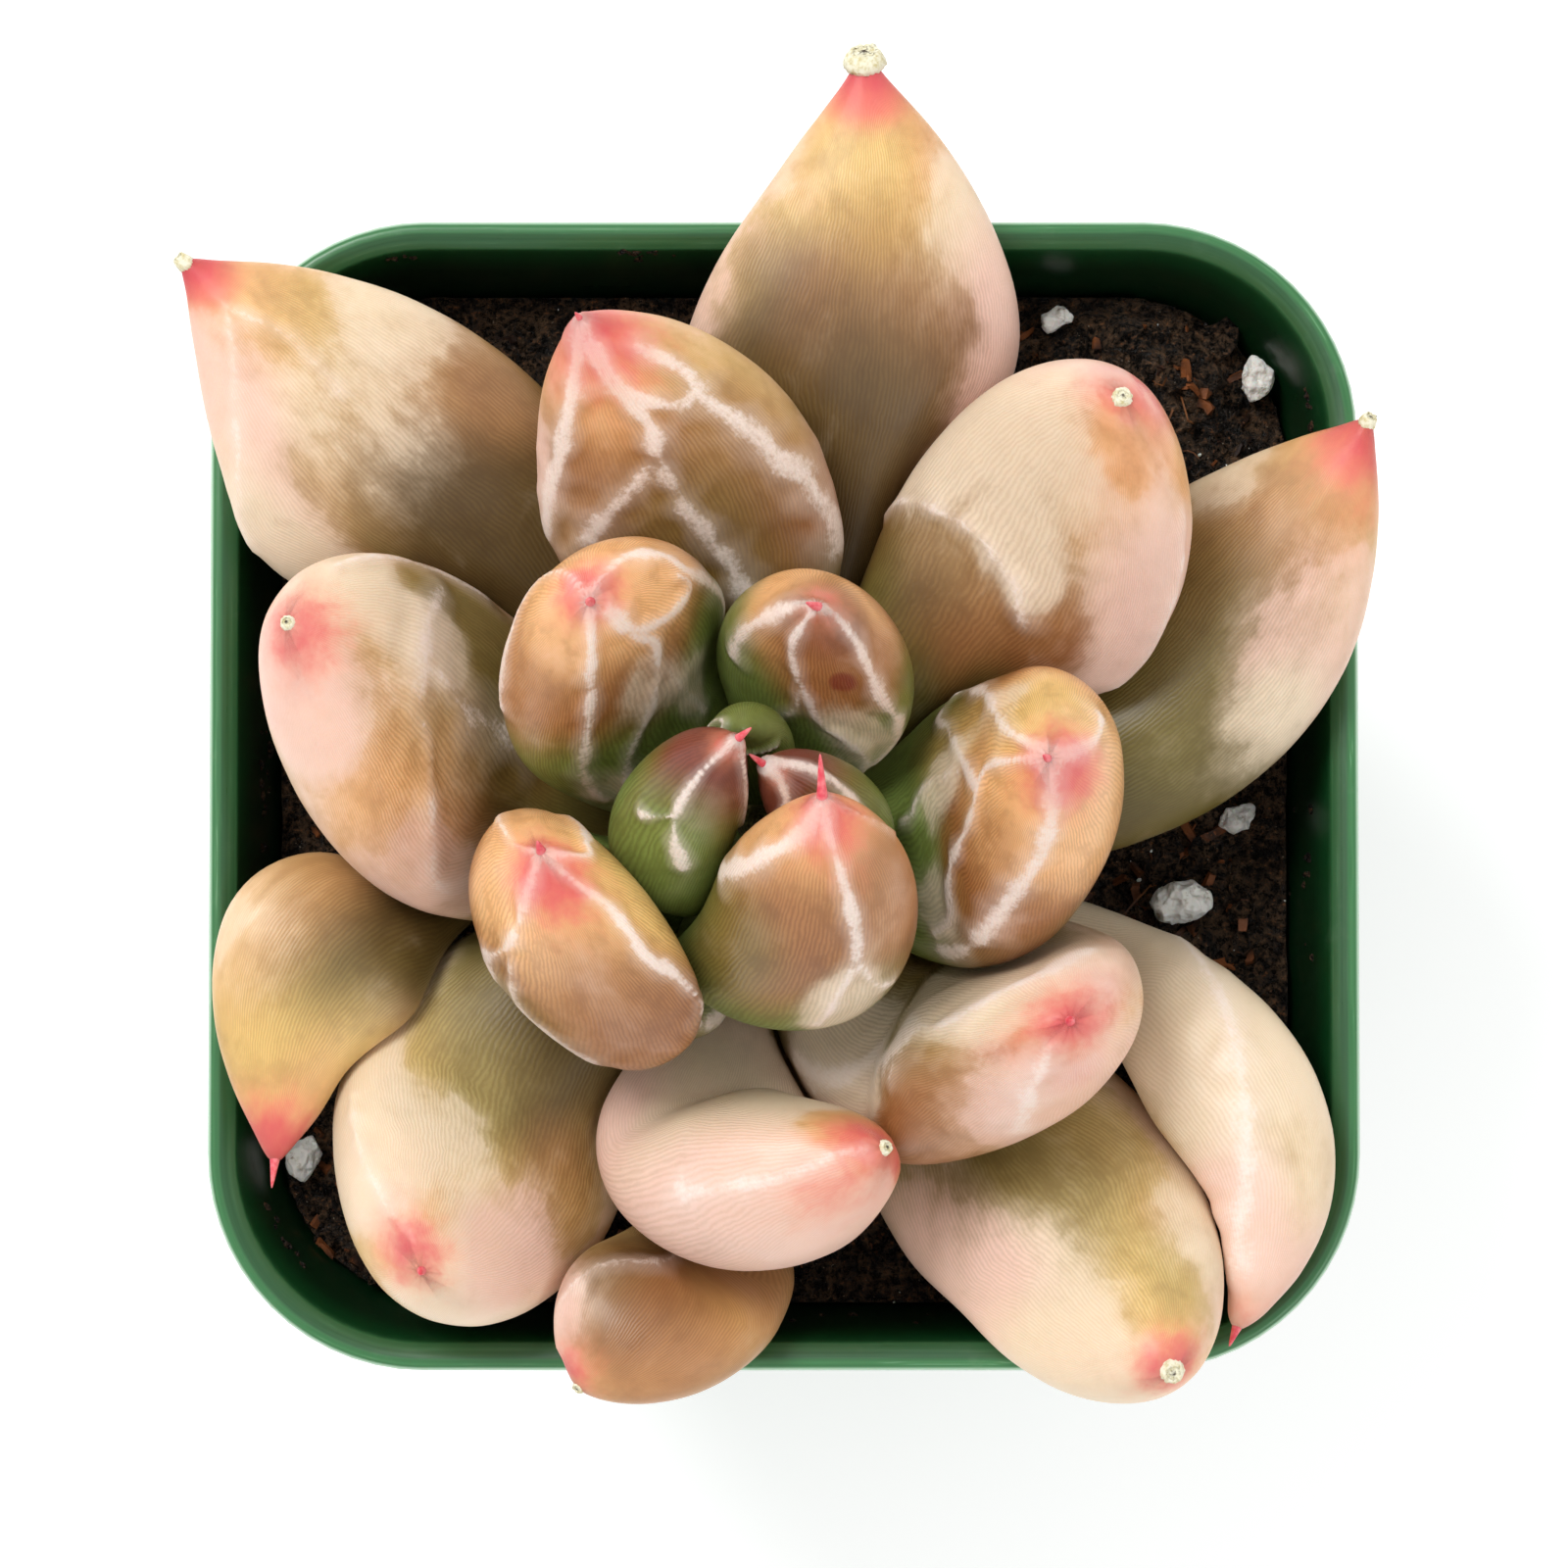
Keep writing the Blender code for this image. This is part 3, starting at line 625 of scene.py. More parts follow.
class Blade:
    """A leaf laid straight: how wide and thick it is along its length, and where each mark falls."""

    def __init__(self, mesh):
        rings = leaf_rings(mesh)
        places = corners(mesh)
        middles = np.array([places[ring].mean(0) for ring in rings])
        steps = np.linalg.norm(np.diff(middles, axis=0), axis=1)
        self.reach = np.concatenate([[0], np.cumsum(steps)])
        self.length = self.reach[-1]
        self.half_width = np.zeros(len(rings))
        self.half_depth = np.zeros(len(rings))
        laid = np.zeros((len(places), 3))
        for k, ring in enumerate(rings):
            if len(ring) == 1:
                laid[ring[0]] = (0, 0, self.reach[k])
                continue
            count = len(ring)
            quarter, half = count // 4, count // 2
            self.half_width[k] = np.linalg.norm(places[ring[0]] - places[ring[half]]) / 2
            self.half_depth[k] = np.linalg.norm(places[ring[quarter]] - places[ring[quarter + half]]) / 2
            turn = FULL_TURN * np.arange(count) / count
            laid[ring, 0] = -np.cos(turn) * self.half_width[k]
            laid[ring, 1] = np.sin(turn) * self.half_depth[k]
            laid[ring, 2] = self.reach[k]
        self.tip = middles[-1]
        self.tip_way = (middles[-1] - middles[-3]) / np.linalg.norm(middles[-1] - middles[-3])
        write_floats(mesh, "place", laid)

    def spot(self, along, around):
        """A place on the straight leaf.

        along is in hundredths from root to tip, and around in degrees from the middle of the upper face, with
        the right side positive.
        """
        reach = np.asarray(along, float) / 100 * self.length
        turn = np.radians(np.asarray(around, float))
        width = np.interp(reach, self.reach, self.half_width)
        depth = np.interp(reach, self.reach, self.half_depth)
        return np.stack([np.sin(turn) * width, np.cos(turn) * depth, reach], -1)

    def stroke(self, points):
        """Close places along a smooth line through a few points."""
        path = np.array(points, float)
        path = np.concatenate([2 * path[:1] - path[1:2], path, 2 * path[-1:] - path[-2:-1]])
        found = []
        for a, b, c, d in zip(path, path[1:], path[2:], path[3:]):
            bow, twist = 2 * a - 5 * b + 4 * c - d, 3 * b - a - 3 * c + d
            for t in np.linspace(0, 1, 14, endpoint=False):
                found.append(0.5 * (2 * b + (c - a) * t + bow * t ** 2 + twist * t ** 3))
        found.append(path[-2])
        found = np.array(found)
        return self.spot(found[:, 0], found[:, 1])


def soft_step(value, low, high):
    share = np.clip((value - low) / (high - low), 0, 1)
    return share * share * (3 - 2 * share)


def near(laid, spot, radius, stretch=1.5):
    """1 in the middle of a soft patch that is longer along the leaf, and 0 outside it."""
    away = (laid - spot) / np.array((1, 1, stretch))
    return 1 - soft_step(np.linalg.norm(away, axis=1), 0.35 * radius, 1.1 * radius)


def glow(laid, spot, radius):
    """1 in the middle of a blush that fades smoothly outwards."""
    away = np.linalg.norm((laid - spot) / np.array((1, 1, 1.3)), axis=1) / radius
    return np.exp(-1.1 * away ** 2)


def drift(places, pitch, seed):
    """A slow random wander of -1 to 1 over space."""
    rng = np.random.default_rng(seed)
    total = np.zeros(len(places))
    for _ in range(6):
        way = rng.normal(size=3)
        way /= np.linalg.norm(way)
        total += np.sin(places @ way * (FULL_TURN / (pitch * rng.uniform(0.7, 1.5))) + rng.uniform(0, 6.28))
    return total / 3


# For each whorl: the flesh tones from root (0) to tip (100), how many fine ripples go round a leaf, and how
# thick the powdery coat is.
TONES = {
    "heart": ((0, "green"), (50, "green"), (64, "olive"), (80, "russet"), (100, "russet")),
    "inner": ((0, "green"), (36, "green"), (50, "olive"), (64, "brown"), (80, "orange"), (100, "orange")),
    "middle": ((0, "shade"), (28, "olive"), (45, "brown"), (68, "tan"), (86, "orange"), (100, "red")),
    "lower": ((0, "olive"), (26, "olive"), (48, "khaki"), (80, "yellow"), (100, "orange")),
    "outer": (
        (0, "shade"), (36, "shade"), (50, "olive"), (64, "tan"), (82, "yellow"), (92, "orange"),
        (100, "orange"),
    ),
}
RIPPLES = {"heart": 80, "inner": 140, "middle": 180, "lower": 180, "outer": 190}
COATS = {"heart": 0.04, "inner": 0.08, "middle": 0.34, "lower": 0.38, "outer": 0.20}

# What each leaf carries besides. Flesh and coat marks are patches: a tone, how far along, how far around, a
# radius in mm and a strength, and bare rubs the coat away. Flush and stain marks have no tone. A line has a
# width in mm, a strength and the places that it runs through.
LEAVES = {
    "leaf_heart_n": {
        "flesh": [("green", 80, 0, 5, 0.9)],
        "lines": [(0.3, 0.6, (70, -100), (87, -108), (71, 47))],
    },
    "leaf_heart_w": {
        "flesh": [("russet", 90, -160, 3, 0.8), ("green", 56, -130, 4, 0.8)],
        "flush": [(97, 180, 1.3, 0.6)],
        "lines": [
            (0.35, 1, (100, -150), (87, -146), (71, -139)), (0.35, 1, (71, -139), (63, -165)),
            (0.5, 1, (71, -139), (54, -111)), (0.35, 1, (100, -75), (85, -59), (67, -46)),
        ],
    },
    "leaf_heart_e": {
        "flesh": [("russet", 88, 165, 3, 0.9), ("green", 60, 175, 3, 0.6)],
        "flush": [(96, 170, 1, 0.5)],
        "lines": [
            (0.4, 1, (100, 175), (90, 145), (78, 100)),
            (0.45, 1, (100, -140), (83, -146), (66, -162), (55, -173)),
        ],
    },
    "leaf_inner_s": {
        "flesh": [
            ("green", 46, 135, 6, 0.8), ("green", 48, -150, 4, 0.6), ("orange", 86, 155, 5, 0.7),
            ("brown", 66, 165, 5, 0.9), ("brown", 80, -128, 4, 0.8), ("olive", 56, 135, 4, 0.7),
        ],
        "coat": [("cream", 50, -150, 3, 0.8)],
        "flush": [(97, -165, 2.6, 0.9), (90, -155, 2, 0.5)],
        "lines": [
            (0.8, 1, (100, 170), (90, 135), (80, 118), (70, 100)),
            (0.6, 1, (100, -170), (90, -162), (79, -156), (67, -152)),
            (0.5, 1, (67, -152), (54, -157), (44, -159)), (0.45, 1, (67, -152), (58, -137), (55, -124)),
            (0.35, 0.4, (100, -110), (87, -78)),
        ],
    },
    "leaf_inner_n": {
        "flesh": [
            ("brown", 85, 30, 5, 0.9), ("green", 46, -40, 5, 0.9), ("green", 30, 15, 4, 0.9),
            ("green", 60, -75, 4, 0.8), ("green", 48, 88, 4, 0.8), ("brown", 75, 73, 3, 0.7),
            ("russet", 96, 90, 3, 0.6),
        ],
        "coat": [("cream", 46, 40, 3, 0.5), ("cream", 26, 60, 3, 0.5)],
        "flush": [(97, 150, 1.8, 0.6)],
        "stain": [(76, 43, 1.3, 0.8)],
        "lines": [
            (0.7, 1, (100, -80), (90, -60), (64, -47)),
            (0.5, 1, (100, -14), (90, -10), (71, 11), (45, 25), (17, 75)),
            (0.7, 1, (100, 110), (90, 85), (71, 69), (45, 72), (24, 75)),
            (0.5, 0.7, (75, 4), (57, 4), (30, -25)),
        ],
    },
    "leaf_inner_nw": {
        "flesh": [
            ("brown", 76, -80, 6, 0.8), ("orange", 95, -100, 3.5, 0.7), ("green", 38, -70, 5, 0.8),
            ("green", 42, 42, 5, 0.9), ("brown", 66, -20, 4, 0.7), ("green", 28, -35, 6, 0.9),
            ("green", 30, 30, 5, 0.9),
        ],
        "coat": [("cream", 67, -2, 3.2, 0.55), ("cream", 46, 22, 3, 0.5), ("cream", 28, -50, 3, 0.5)],
        "flush": [(97, 150, 2.6, 0.9)],
        "lines": [
            (0.7, 1, (100, 160), (79, 188), (75, 217), (63, 244)),
            (0.7, 1, (100, -44), (94, -43), (76, -44), (50, -46), (30, -55)),
            (0.7, 1, (100, 120), (88, 95), (75, 63), (52, 66)),
            (0.6, 1, (80, 60), (75, 52), (80, 31), (90, 6), (97, 12)),
            (0.6, 1, (89, 2), (80, 9), (71, 2), (51, -14), (30, -37)), (0.9, 0.6, (70, 4), (47, 14), (32, 24)),
        ],
    },
    "leaf_inner_sw": {
        "flesh": [
            ("yellow", 88, -27, 5, 0.8), ("orange", 84, -109, 5, 0.8), ("brown", 67, -101, 6, 0.8),
            ("brown", 50, -80, 5, 0.6),
        ],
        "flush": [(97, -107, 3.2, 1)],
        "lines": [
            (0.6, 1, (100, -135), (91, -147), (78, -159)), (0.7, 1, (82, -155), (64, -174), (57, -171)),
            (0.8, 1, (77, -157), (58, -156), (53, -144), (49, -129)),
            (0.7, 1, (100, -63), (91, -57), (81, -66), (69, -59), (25, -66)),
            (0.5, 0.7, (100, 160), (92, 126), (82, 114)), (0.5, 1, (100, -20), (94, -4), (92, 20), (85, 53)),
        ],
    },
    "leaf_inner_e": {
        "flesh": [
            ("yellow", 91, -63, 4, 0.8), ("yellow", 60, -20, 4, 0.5), ("green", 33, 10, 5, 0.9),
            ("brown", 55, 95, 5, 0.8), ("orange", 85, 137, 5, 0.8), ("brown", 78, 56, 3.5, 0.5),
        ],
        "coat": [("cream", 57, 0, 3.4, 0.7), ("cream", 80, -34, 2.4, 0.5), ("cream", 40, 40, 3, 0.6)],
        "flush": [(97, 165, 3, 1), (97, -150, 1.6, 0.6)],
        "lines": [
            (0.7, 1, (100, -25), (91, -18), (70, -37), (47, -60)),
            (0.6, 1, (47, -56), (49, -37), (70, -3), (81, 18)),
            (0.7, 1, (100, 11), (85, 11), (78, 33), (62, 43), (36, 52)),
            (0.6, 0.8, (72, 5), (50, -5), (31, -5)),
            (1, 1, (100, 112), (94, 114), (81, 102), (60, 82), (36, 63)),
            (0.7, 1, (100, -154), (93, -149), (87, -133)),
        ],
    },
    "leaf_middle_n": {
        "flesh": [
            ("yellow", 80, 63, 6, 0.8), ("brown", 75, -27, 6, 0.8), ("brown", 62, 24, 7, 0.7),
            ("olive", 48, 0, 6, 0.6), ("orange", 90, -10, 4, 0.6),
        ],
        "coat": [("bare", 72, -10, 9, 0.8), ("bare", 62, 25, 8, 0.8), ("pink", 74, -75, 3, 0.5)],
        "flush": [(96, 25, 4, 0.9)],
        "lines": [
            (1, 1, (100, -22), (90, -36), (74, -56), (59, -79)),
            (0.8, 1, (100, -11), (89, 1), (80, 8), (73, 2)), (1.3, 0.8, (72, -2), (65, -25), (59, -44)),
            (1.2, 0.8, (73, 2), (60, 2), (52, 5), (36, 14)),
            (0.9, 1, (100, 8), (90, 5), (84, 14), (80, 27), (80, 41)), (0.8, 1, (80, 41), (85, 50), (92, 47)),
            (1.7, 0.8, (80, 40), (74, 43), (62, 49), (50, 62), (40, 75)),
        ],
    },
    "leaf_middle_ne": {
        "flesh": [
            ("brown", 52, 18, 6, 0.8), ("shade", 46, -15, 5, 0.7), ("olive", 37, -40, 4, 0.6),
            ("orange", 93, 72, 4, 0.8), ("brown", 52, 70, 5, 0.5), ("tan", 70, 0, 8, 0.6),
        ],
        "coat": [
            ("bare", 50, 10, 7, 1), ("bare", 42, -30, 6, 1), ("cream", 80, -12, 7, 0.7),
            ("cream", 65, -44, 5, 0.6), ("cream", 62, 25, 3.5, 0.6), ("pink", 67, 111, 6, 0.8),
            ("cream", 58, 36, 2, 0.7), ("bare", 93, 72, 2.5, 0.6),
        ],
        "flush": [(100, 0, 2.6, 0.6)],
        "lines": [
            (0.9, 0.6, (47, -55), (52, -41), (58, -7), (59, 12), (56, 28), (50, 40)),
            (0.8, 0.6, (84, 127), (66, 110), (49, 111)),
        ],
    },
    "leaf_middle_w": {
        "flesh": [
            ("yellow", 86, 21, 6, 0.8), ("olive", 64, 30, 6, 0.8), ("olive", 41, 8, 6, 0.7),
            ("tan", 81, -20, 6, 0.6), ("orange", 77, -82, 5, 0.5), ("orange", 60, -66, 7, 0.8),
        ],
        "coat": [
            ("bare", 65, 30, 6, 0.9), ("bare", 50, 20, 6, 0.9), ("bare", 80, -15, 5, 0.5),
            ("pink", 94, -100, 6, 0.7), ("cream", 91, 56, 4, 0.7), ("bare", 62, -60, 5, 0.6),
            ("pink", 46, -64, 5, 0.5), ("cream", 76, 12, 3.5, 0.8),
        ],
        "flush": [(98, -15, 3.4, 0.8)],
        "lines": [
            (1, 0.7, (91, 66), (80, 63), (70, 63), (62, 62)), (1.9, 0.5, (72, 49), (76, 18), (75, -9)),
            (1.8, 0.6, (72, 0), (60, -2), (46, 12)), (0.8, 0.6, (71, -22), (52, -46), (41, -65)),
        ],
    },
    "leaf_middle_se": {
        "flesh": [
            ("olive", 45, 11, 6, 0.7), ("brown", 74, 68, 6, 0.8), ("brown", 55, 80, 7, 0.7),
            ("orange", 78, 120, 5, 0.4), ("khaki", 70, 0, 7, 0.6),
        ],
        "coat": [
            ("bare", 66, 66, 8, 0.85), ("pink", 80, 118, 5, 0.5), ("pink", 79, 164, 6, 0.7),
            ("cream", 78, -12, 6, 1.2), ("cream", 38, 34, 5, 0.9),
        ],
        "flush": [(99, -10, 3, 0.8), (96, 60, 2.4, 0.5)],
        "lines": [
            (2, 1, (30, 65), (46, 31), (66, 24)), (1.1, 0.9, (66, 24), (82, 18), (90, -27), (87, -72)),
            (1.2, 0.6, (97, 95), (92, 108), (75, 124)),
        ],
    },
    "leaf_middle_s": {
        "flesh": [("orange", 93, 117, 3.5, 0.9), ("yellow", 75, 110, 6, 0.6)],
        "coat": [
            ("cream", 58, 106, 8, 1.4), ("cream", 73, 115, 6, 0.9), ("cream", 72, 180, 6, 0.6),
            ("pink", 76, -150, 7, 0.9), ("pink", 71, -95, 6, 0.8), ("bare", 94, 117, 3, 0.7),
            ("pink", 48, 147, 4, 0.5),
        ],
        "flush": [(97, 130, 2.6, 0.9), (93, -140, 3.2, 0.6), (96, -175, 2, 0.6)],
        "lines": [(0.9, 0.7, (98, 171), (88, 188), (72, 181))],
    },
    "leaf_lower_sw": {
        "flesh": [
            ("shade", 48, 0, 7, 0.9), ("khaki", 62, 30, 6, 0.7), ("brown", 71, -31, 5, 0.6),
            ("yellow", 66, 56, 5, 0.5), ("orange", 88, 75, 4, 0.5),
        ],
        "coat": [
            ("bare", 48, 5, 8, 0.9), ("bare", 70, -25, 5, 0.6), ("bare", 62, 32, 4, 0.5),
            ("cream", 80, 100, 6, 0.7), ("cream", 55, 85, 5, 0.5), ("cream", 94, -61, 6, 0.6),
            ("pink", 85, -30, 5, 0.4), ("cream", 76, 34, 5, 0.5),
        ],
        "flush": [(98, 73, 2.6, 0.9)],
        "lines": [(0.9, 0.5, (72, 82), (86, 88), (95, 82))],
    },
    "leaf_lower_se": {
        "flesh": [
            ("yellow", 89, -17, 4, 0.9), ("olive", 60, 6, 7, 0.8), ("khaki", 72, 0, 6, 0.5),
            ("khaki", 89, -59, 4, 0.6),
        ],
        "coat": [
            ("bare", 62, 0, 7, 0.8), ("bare", 88, -20, 4.5, 0.7), ("cream", 78, 22, 5, 0.5),
            ("pink", 64, 50, 6, 0.5), ("cream", 92, 79, 6, 0.7), ("cream", 82, -63, 4, 0.3),
        ],
        "flush": [(99, -6, 2.6, 0.9)],
    },
    "leaf_outer_se": {
        "flesh": [
            ("khaki", 44, -62, 8, 0.9), ("khaki", 58, -15, 8, 0.7), ("yellow", 72, -33, 7, 0.6),
            ("tan", 82, -10, 6, 0.4),
        ],
        "coat": [
            ("bare", 50, -30, 7, 0.4), ("cream", 72, -45, 6, 0.5), ("pink", 94, 0, 4, 0.7),
            ("cream", 50, -70, 7, 0.9), ("pink", 82, 39, 4, 0.5), ("cream", 60, 10, 5, 0.3),
        ],
        "flush": [(98, 0, 2.2, 0.5)],
        "lines": [(1.4, 0.6, (50, -80), (58, -52), (68, -21), (79, 5), (91, 24))],
    },
    "leaf_outer_e": {
        "flesh": [
            ("orange", 88, 8, 5, 0.9), ("yellow", 84, -20, 4, 0.5), ("brown", 74, -5, 7, 0.7),
            ("olive", 50, 30, 9, 0.8), ("olive", 60, -10, 6, 0.5), ("red", 98, 30, 3, 0.5),
        ],
        "coat": [
            ("bare", 72, -5, 10, 0.8), ("bare", 55, 20, 10, 0.7), ("cream", 81, -59, 3.5, 0.6),
            ("pink", 74, 50, 6, 0.55), ("cream", 58, 55, 4, 0.4),
        ],
        "flush": [(98, 40, 3.5, 0.9), (92, 60, 3, 0.5)],
    },
    "leaf_outer_n": {
        "flesh": [
            ("orange", 91, 30, 5, 0.9), ("yellow", 84, -5, 4, 0.9), ("shade", 54, -25, 7, 0.9),
            ("brown", 55, 44, 7, 0.7), ("brown", 67, 0, 6, 0.5), ("shade", 45, 8, 8, 0.9),
            ("red", 97, 0, 2.8, 0.9),
        ],
        "coat": [
            ("cream", 80, 28, 4, 0.6), ("cream", 70, 52, 6, 0.5), ("cream", 81, -38, 4, 0.5),
            ("pink", 66, -60, 6, 0.5), ("pink", 61, 76, 7, 0.6), ("bare", 86, 0, 4, 0.8),
            ("bare", 58, -5, 11, 0.85), ("bare", 98, 0, 3, 0.9),
        ],
        "flush": [(98, 0, 2.6, 1)],
    },
    "leaf_outer_nw": {
        "flesh": [
            ("orange", 87, -5, 4.5, 0.8), ("yellow", 79, 31, 5, 0.7), ("tan", 66, 8, 8, 0.6),
            ("brown", 58, 40, 6, 0.6), ("shade", 50, 5, 6, 0.8), ("shade", 44, 11, 6, 0.8),
            ("red", 98, 0, 2.4, 0.9),
        ],
        "coat": [
            ("bare", 87, -2, 4, 0.8), ("bare", 50, 6, 7, 0.9), ("bare", 60, 44, 5, 0.8),
            ("pink", 87, -57, 5, 0.6), ("bare", 99, 0, 2.6, 0.9), ("pink", 77, -72, 6, 0.6),
            ("cream", 64, -88, 6, 0.8), ("cream", 76, 55, 4, 0.5), ("cream", 68, 5, 5, 0.4),
        ],
        "flush": [(99, 0, 2.2, 1)],
        "lines": [
            (0.9, 0.4, (92, -9), (83, -40), (75, -60), (66, -92)),
            (0.9, 0.35, (92, -9), (85, 7), (77, 6), (74, 4)),
        ],
    },
    "leaf_outer_w": {
        "flesh": [
            ("orange", 88, 12, 4, 0.9), ("yellow", 76, 37, 6, 0.9), ("olive", 58, 15, 6, 0.8),
            ("shade", 49, 15, 7, 0.9), ("orange", 66, 62, 5, 0.5),
        ],
        "coat": [
            ("cream", 62, 82, 4, 0.5), ("bare", 58, 18, 8, 0.9), ("bare", 80, 20, 5, 0.5),
            ("cream", 72, 45, 3, 0.3),
        ],
        "flush": [(97, 14, 3, 1)],
    },
    "leaf_outer_s": {
        "flesh": [
            ("shade", 76, 5, 5, 0.8), ("brown", 80, -40, 7, 0.7), ("brown", 86, 20, 5, 0.5),
            ("shade", 76, 47, 5, 0.5),
        ],
        "coat": [("bare", 80, 5, 12, 0.9), ("pink", 93, 117, 5, 0.8)],
        "flush": [(98, 50, 2, 0.8)],
        "lines": [(0.9, 0.4, (96, 79), (89, 49), (82, 27), (73, -19))],
    },
}

# The least that a flush, a stain and a line can be, away from every mark.
UNTOUCHED = -0.5
NO_LINE = -3.0


def paint_leaf(piece, blade, group, marks, look, seed):
    """Lays the flesh colours, the coat, the flush and the rubbed lines on a leaf as attributes."""

    def tone_of(name):
        return np.array(tuple(getattr(look, name)))

    mesh = piece.data
    laid = read_floats(mesh, "place", 3).astype(float)
    along = 100 * laid[:, 2] / blade.length
    wander = drift(laid, 5 * MM, seed)
    stops = TONES[group]
    shades = np.array([tone_of(tone) for _, tone in stops])
    at = np.clip(along + 5 * wander, 0, 100)
    flesh = np.stack([np.interp(at, [s[0] for s in stops], shades[:, c]) for c in range(3)], -1)
    coat_colour = np.tile(tone_of("cream"), (len(laid), 1))
    half_width = np.interp(laid[:, 2], blade.reach, blade.half_width + 0.1 * MM)
    edge = soft_step(np.abs(laid[:, 0]) / half_width, 0.55, 0.98)
    coat_colour += (tone_of("pink") - coat_colour) * (0.75 * edge)[:, None]
    ripe = soft_step(along, 12, 62)
    coat = COATS[group] * ripe * (0.8 + 0.9 * edge) + 0.10 * wander * ripe
    for tone, reach, around, radius, share in marks.get("flesh", ()):
        weight = (near(laid, blade.spot(reach, around), radius * MM) * share)[:, None]
        flesh += (tone_of(tone) - flesh) * weight
    for tone, reach, around, radius, share in marks.get("coat", ()):
        weight = near(laid, blade.spot(reach, around), radius * MM)
        if tone == "bare":
            coat *= 1 - weight * share
        else:
            coat += weight * share
            coat_colour += (tone_of(tone) - coat_colour) * np.clip(weight * 1.2, 0, 1)[:, None]
    flush = np.full(len(laid), UNTOUCHED)
    for reach, around, radius, share in marks.get("flush", ()):
        flush = np.maximum(flush, 1.7 * share * glow(laid, blade.spot(reach, around), radius * MM) + UNTOUCHED)
    stain = np.full(len(laid), UNTOUCHED)
    for reach, around, radius, share in marks.get("stain", ()):
        dark = near(laid, blade.spot(reach, around), radius * MM, 1.2)
        stain = np.maximum(stain, 1.6 * share * dark + UNTOUCHED)
    lines = np.full(len(laid), NO_LINE)
    swing = 1 + 0.4 * drift(laid, 2.4 * MM, seed + 1)
    for width, force, *points in marks.get("lines", ()):
        path = blade.stroke(points)
        spread = np.linspace(0.8, 1.5, len(path)) * width / 2 * MM
        gap = np.min([np.linalg.norm(laid - spot, axis=1) / wide for spot, wide in zip(path, spread)], axis=0)
        lines = np.maximum(lines, force - gap / swing)
    write_floats(mesh, "flesh", np.concatenate([np.clip(flesh, 0, 1), np.ones((len(laid), 1))], 1))
    write_floats(mesh, "coat", np.concatenate([np.clip(coat_colour, 0, 1), np.clip(coat, 0, 1)[:, None]], 1))
    write_floats(mesh, "flush", flush)
    write_floats(mesh, "stain", stain)
    write_floats(mesh, "lines", lines)


def raise_ridges(piece, look):
    """Lifts the skin along the pressed lines, so that the faces between them read as flatter panels."""
    away = 1 - read_floats(piece.data, "lines", 1)[:, 0]
    ridge = piece.vertex_groups.new(name="ridge")
    for index in np.flatnonzero(away < 4):
        ridge.add([int(index)], float(math.exp(-0.5 * (away[index] / 1.3) ** 2)), "REPLACE")
    modify(piece, "DISPLACE", strength=look.ridge, mid_level=0.0, vertex_group="ridge")


def join_triangles():
    bpy.ops.mesh.tris_convert_to_quads(face_threshold=math.radians(60), shape_threshold=math.radians(60))


def make_leaves(group, names, slot, material, look):
    """The leaves of one whorl, each from its fixed node: smoothed, plumped, gently uneven and painted."""
    swells = clouds(group + "_swells", 5 * MM, 1)
    for number, name in enumerate(names):
        piece = cloned(name, name.replace("leaf_", "skin_"))
        blade = Blade(piece.data)
        edit(piece, join_triangles)
        subdivide(piece, look.smoothing)
        modify(piece, "DISPLACE", strength=look.plumpness, mid_level=0.0)
        roughen(piece, swells, look.waviness)
        paint_leaf(piece, blade, group, LEAVES[name], look, SEED + 31 * number)
        raise_ridges(piece, look)
        take(piece)
        bpy.ops.object.shade_smooth()
        finished(piece, material, slot, name)
        BLADES[name] = blade


BLADES = {}

WHORLS = {
    "heart": ("leaf_heart_n", "leaf_heart_w", "leaf_heart_e"),
    "inner": ("leaf_inner_s", "leaf_inner_n", "leaf_inner_nw", "leaf_inner_sw", "leaf_inner_e"),
    "middle": ("leaf_middle_n", "leaf_middle_ne", "leaf_middle_w", "leaf_middle_se", "leaf_middle_s"),
    "lower": ("leaf_lower_sw", "leaf_lower_se"),
    "outer": ("leaf_outer_se", "leaf_outer_e", "leaf_outer_n", "leaf_outer_nw", "leaf_outer_w", "leaf_outer_s"),
}


# ---------------------------------------------------------------- points at the leaf ends

def spike_shape():
    """A soft point one unit long: a flared foot drawn up to a fine end, modelled by extruding a circle."""
    deselect()
    bpy.ops.mesh.primitive_circle_add(vertices=12, radius=0.30, fill_type="NGON", location=(0, 0, -0.35))
    shape = bpy.context.object

    def draw_up():
        for rise, narrow in ((0.35, 0.72), (0.3, 0.74), (0.3, 0.72), (0.25, 0.6), (0.15, 0.35)):
            bpy.ops.mesh.extrude_region_move(TRANSFORM_OT_translate={"value": (0, 0, rise)})
            bpy.ops.transform.resize(value=(narrow, narrow, 1))

    edit(shape, draw_up)
    edit(shape, bpy.ops.mesh.normals_make_consistent)
    subdivide(shape, 2)
    place_in_mesh(shape)
    return shape


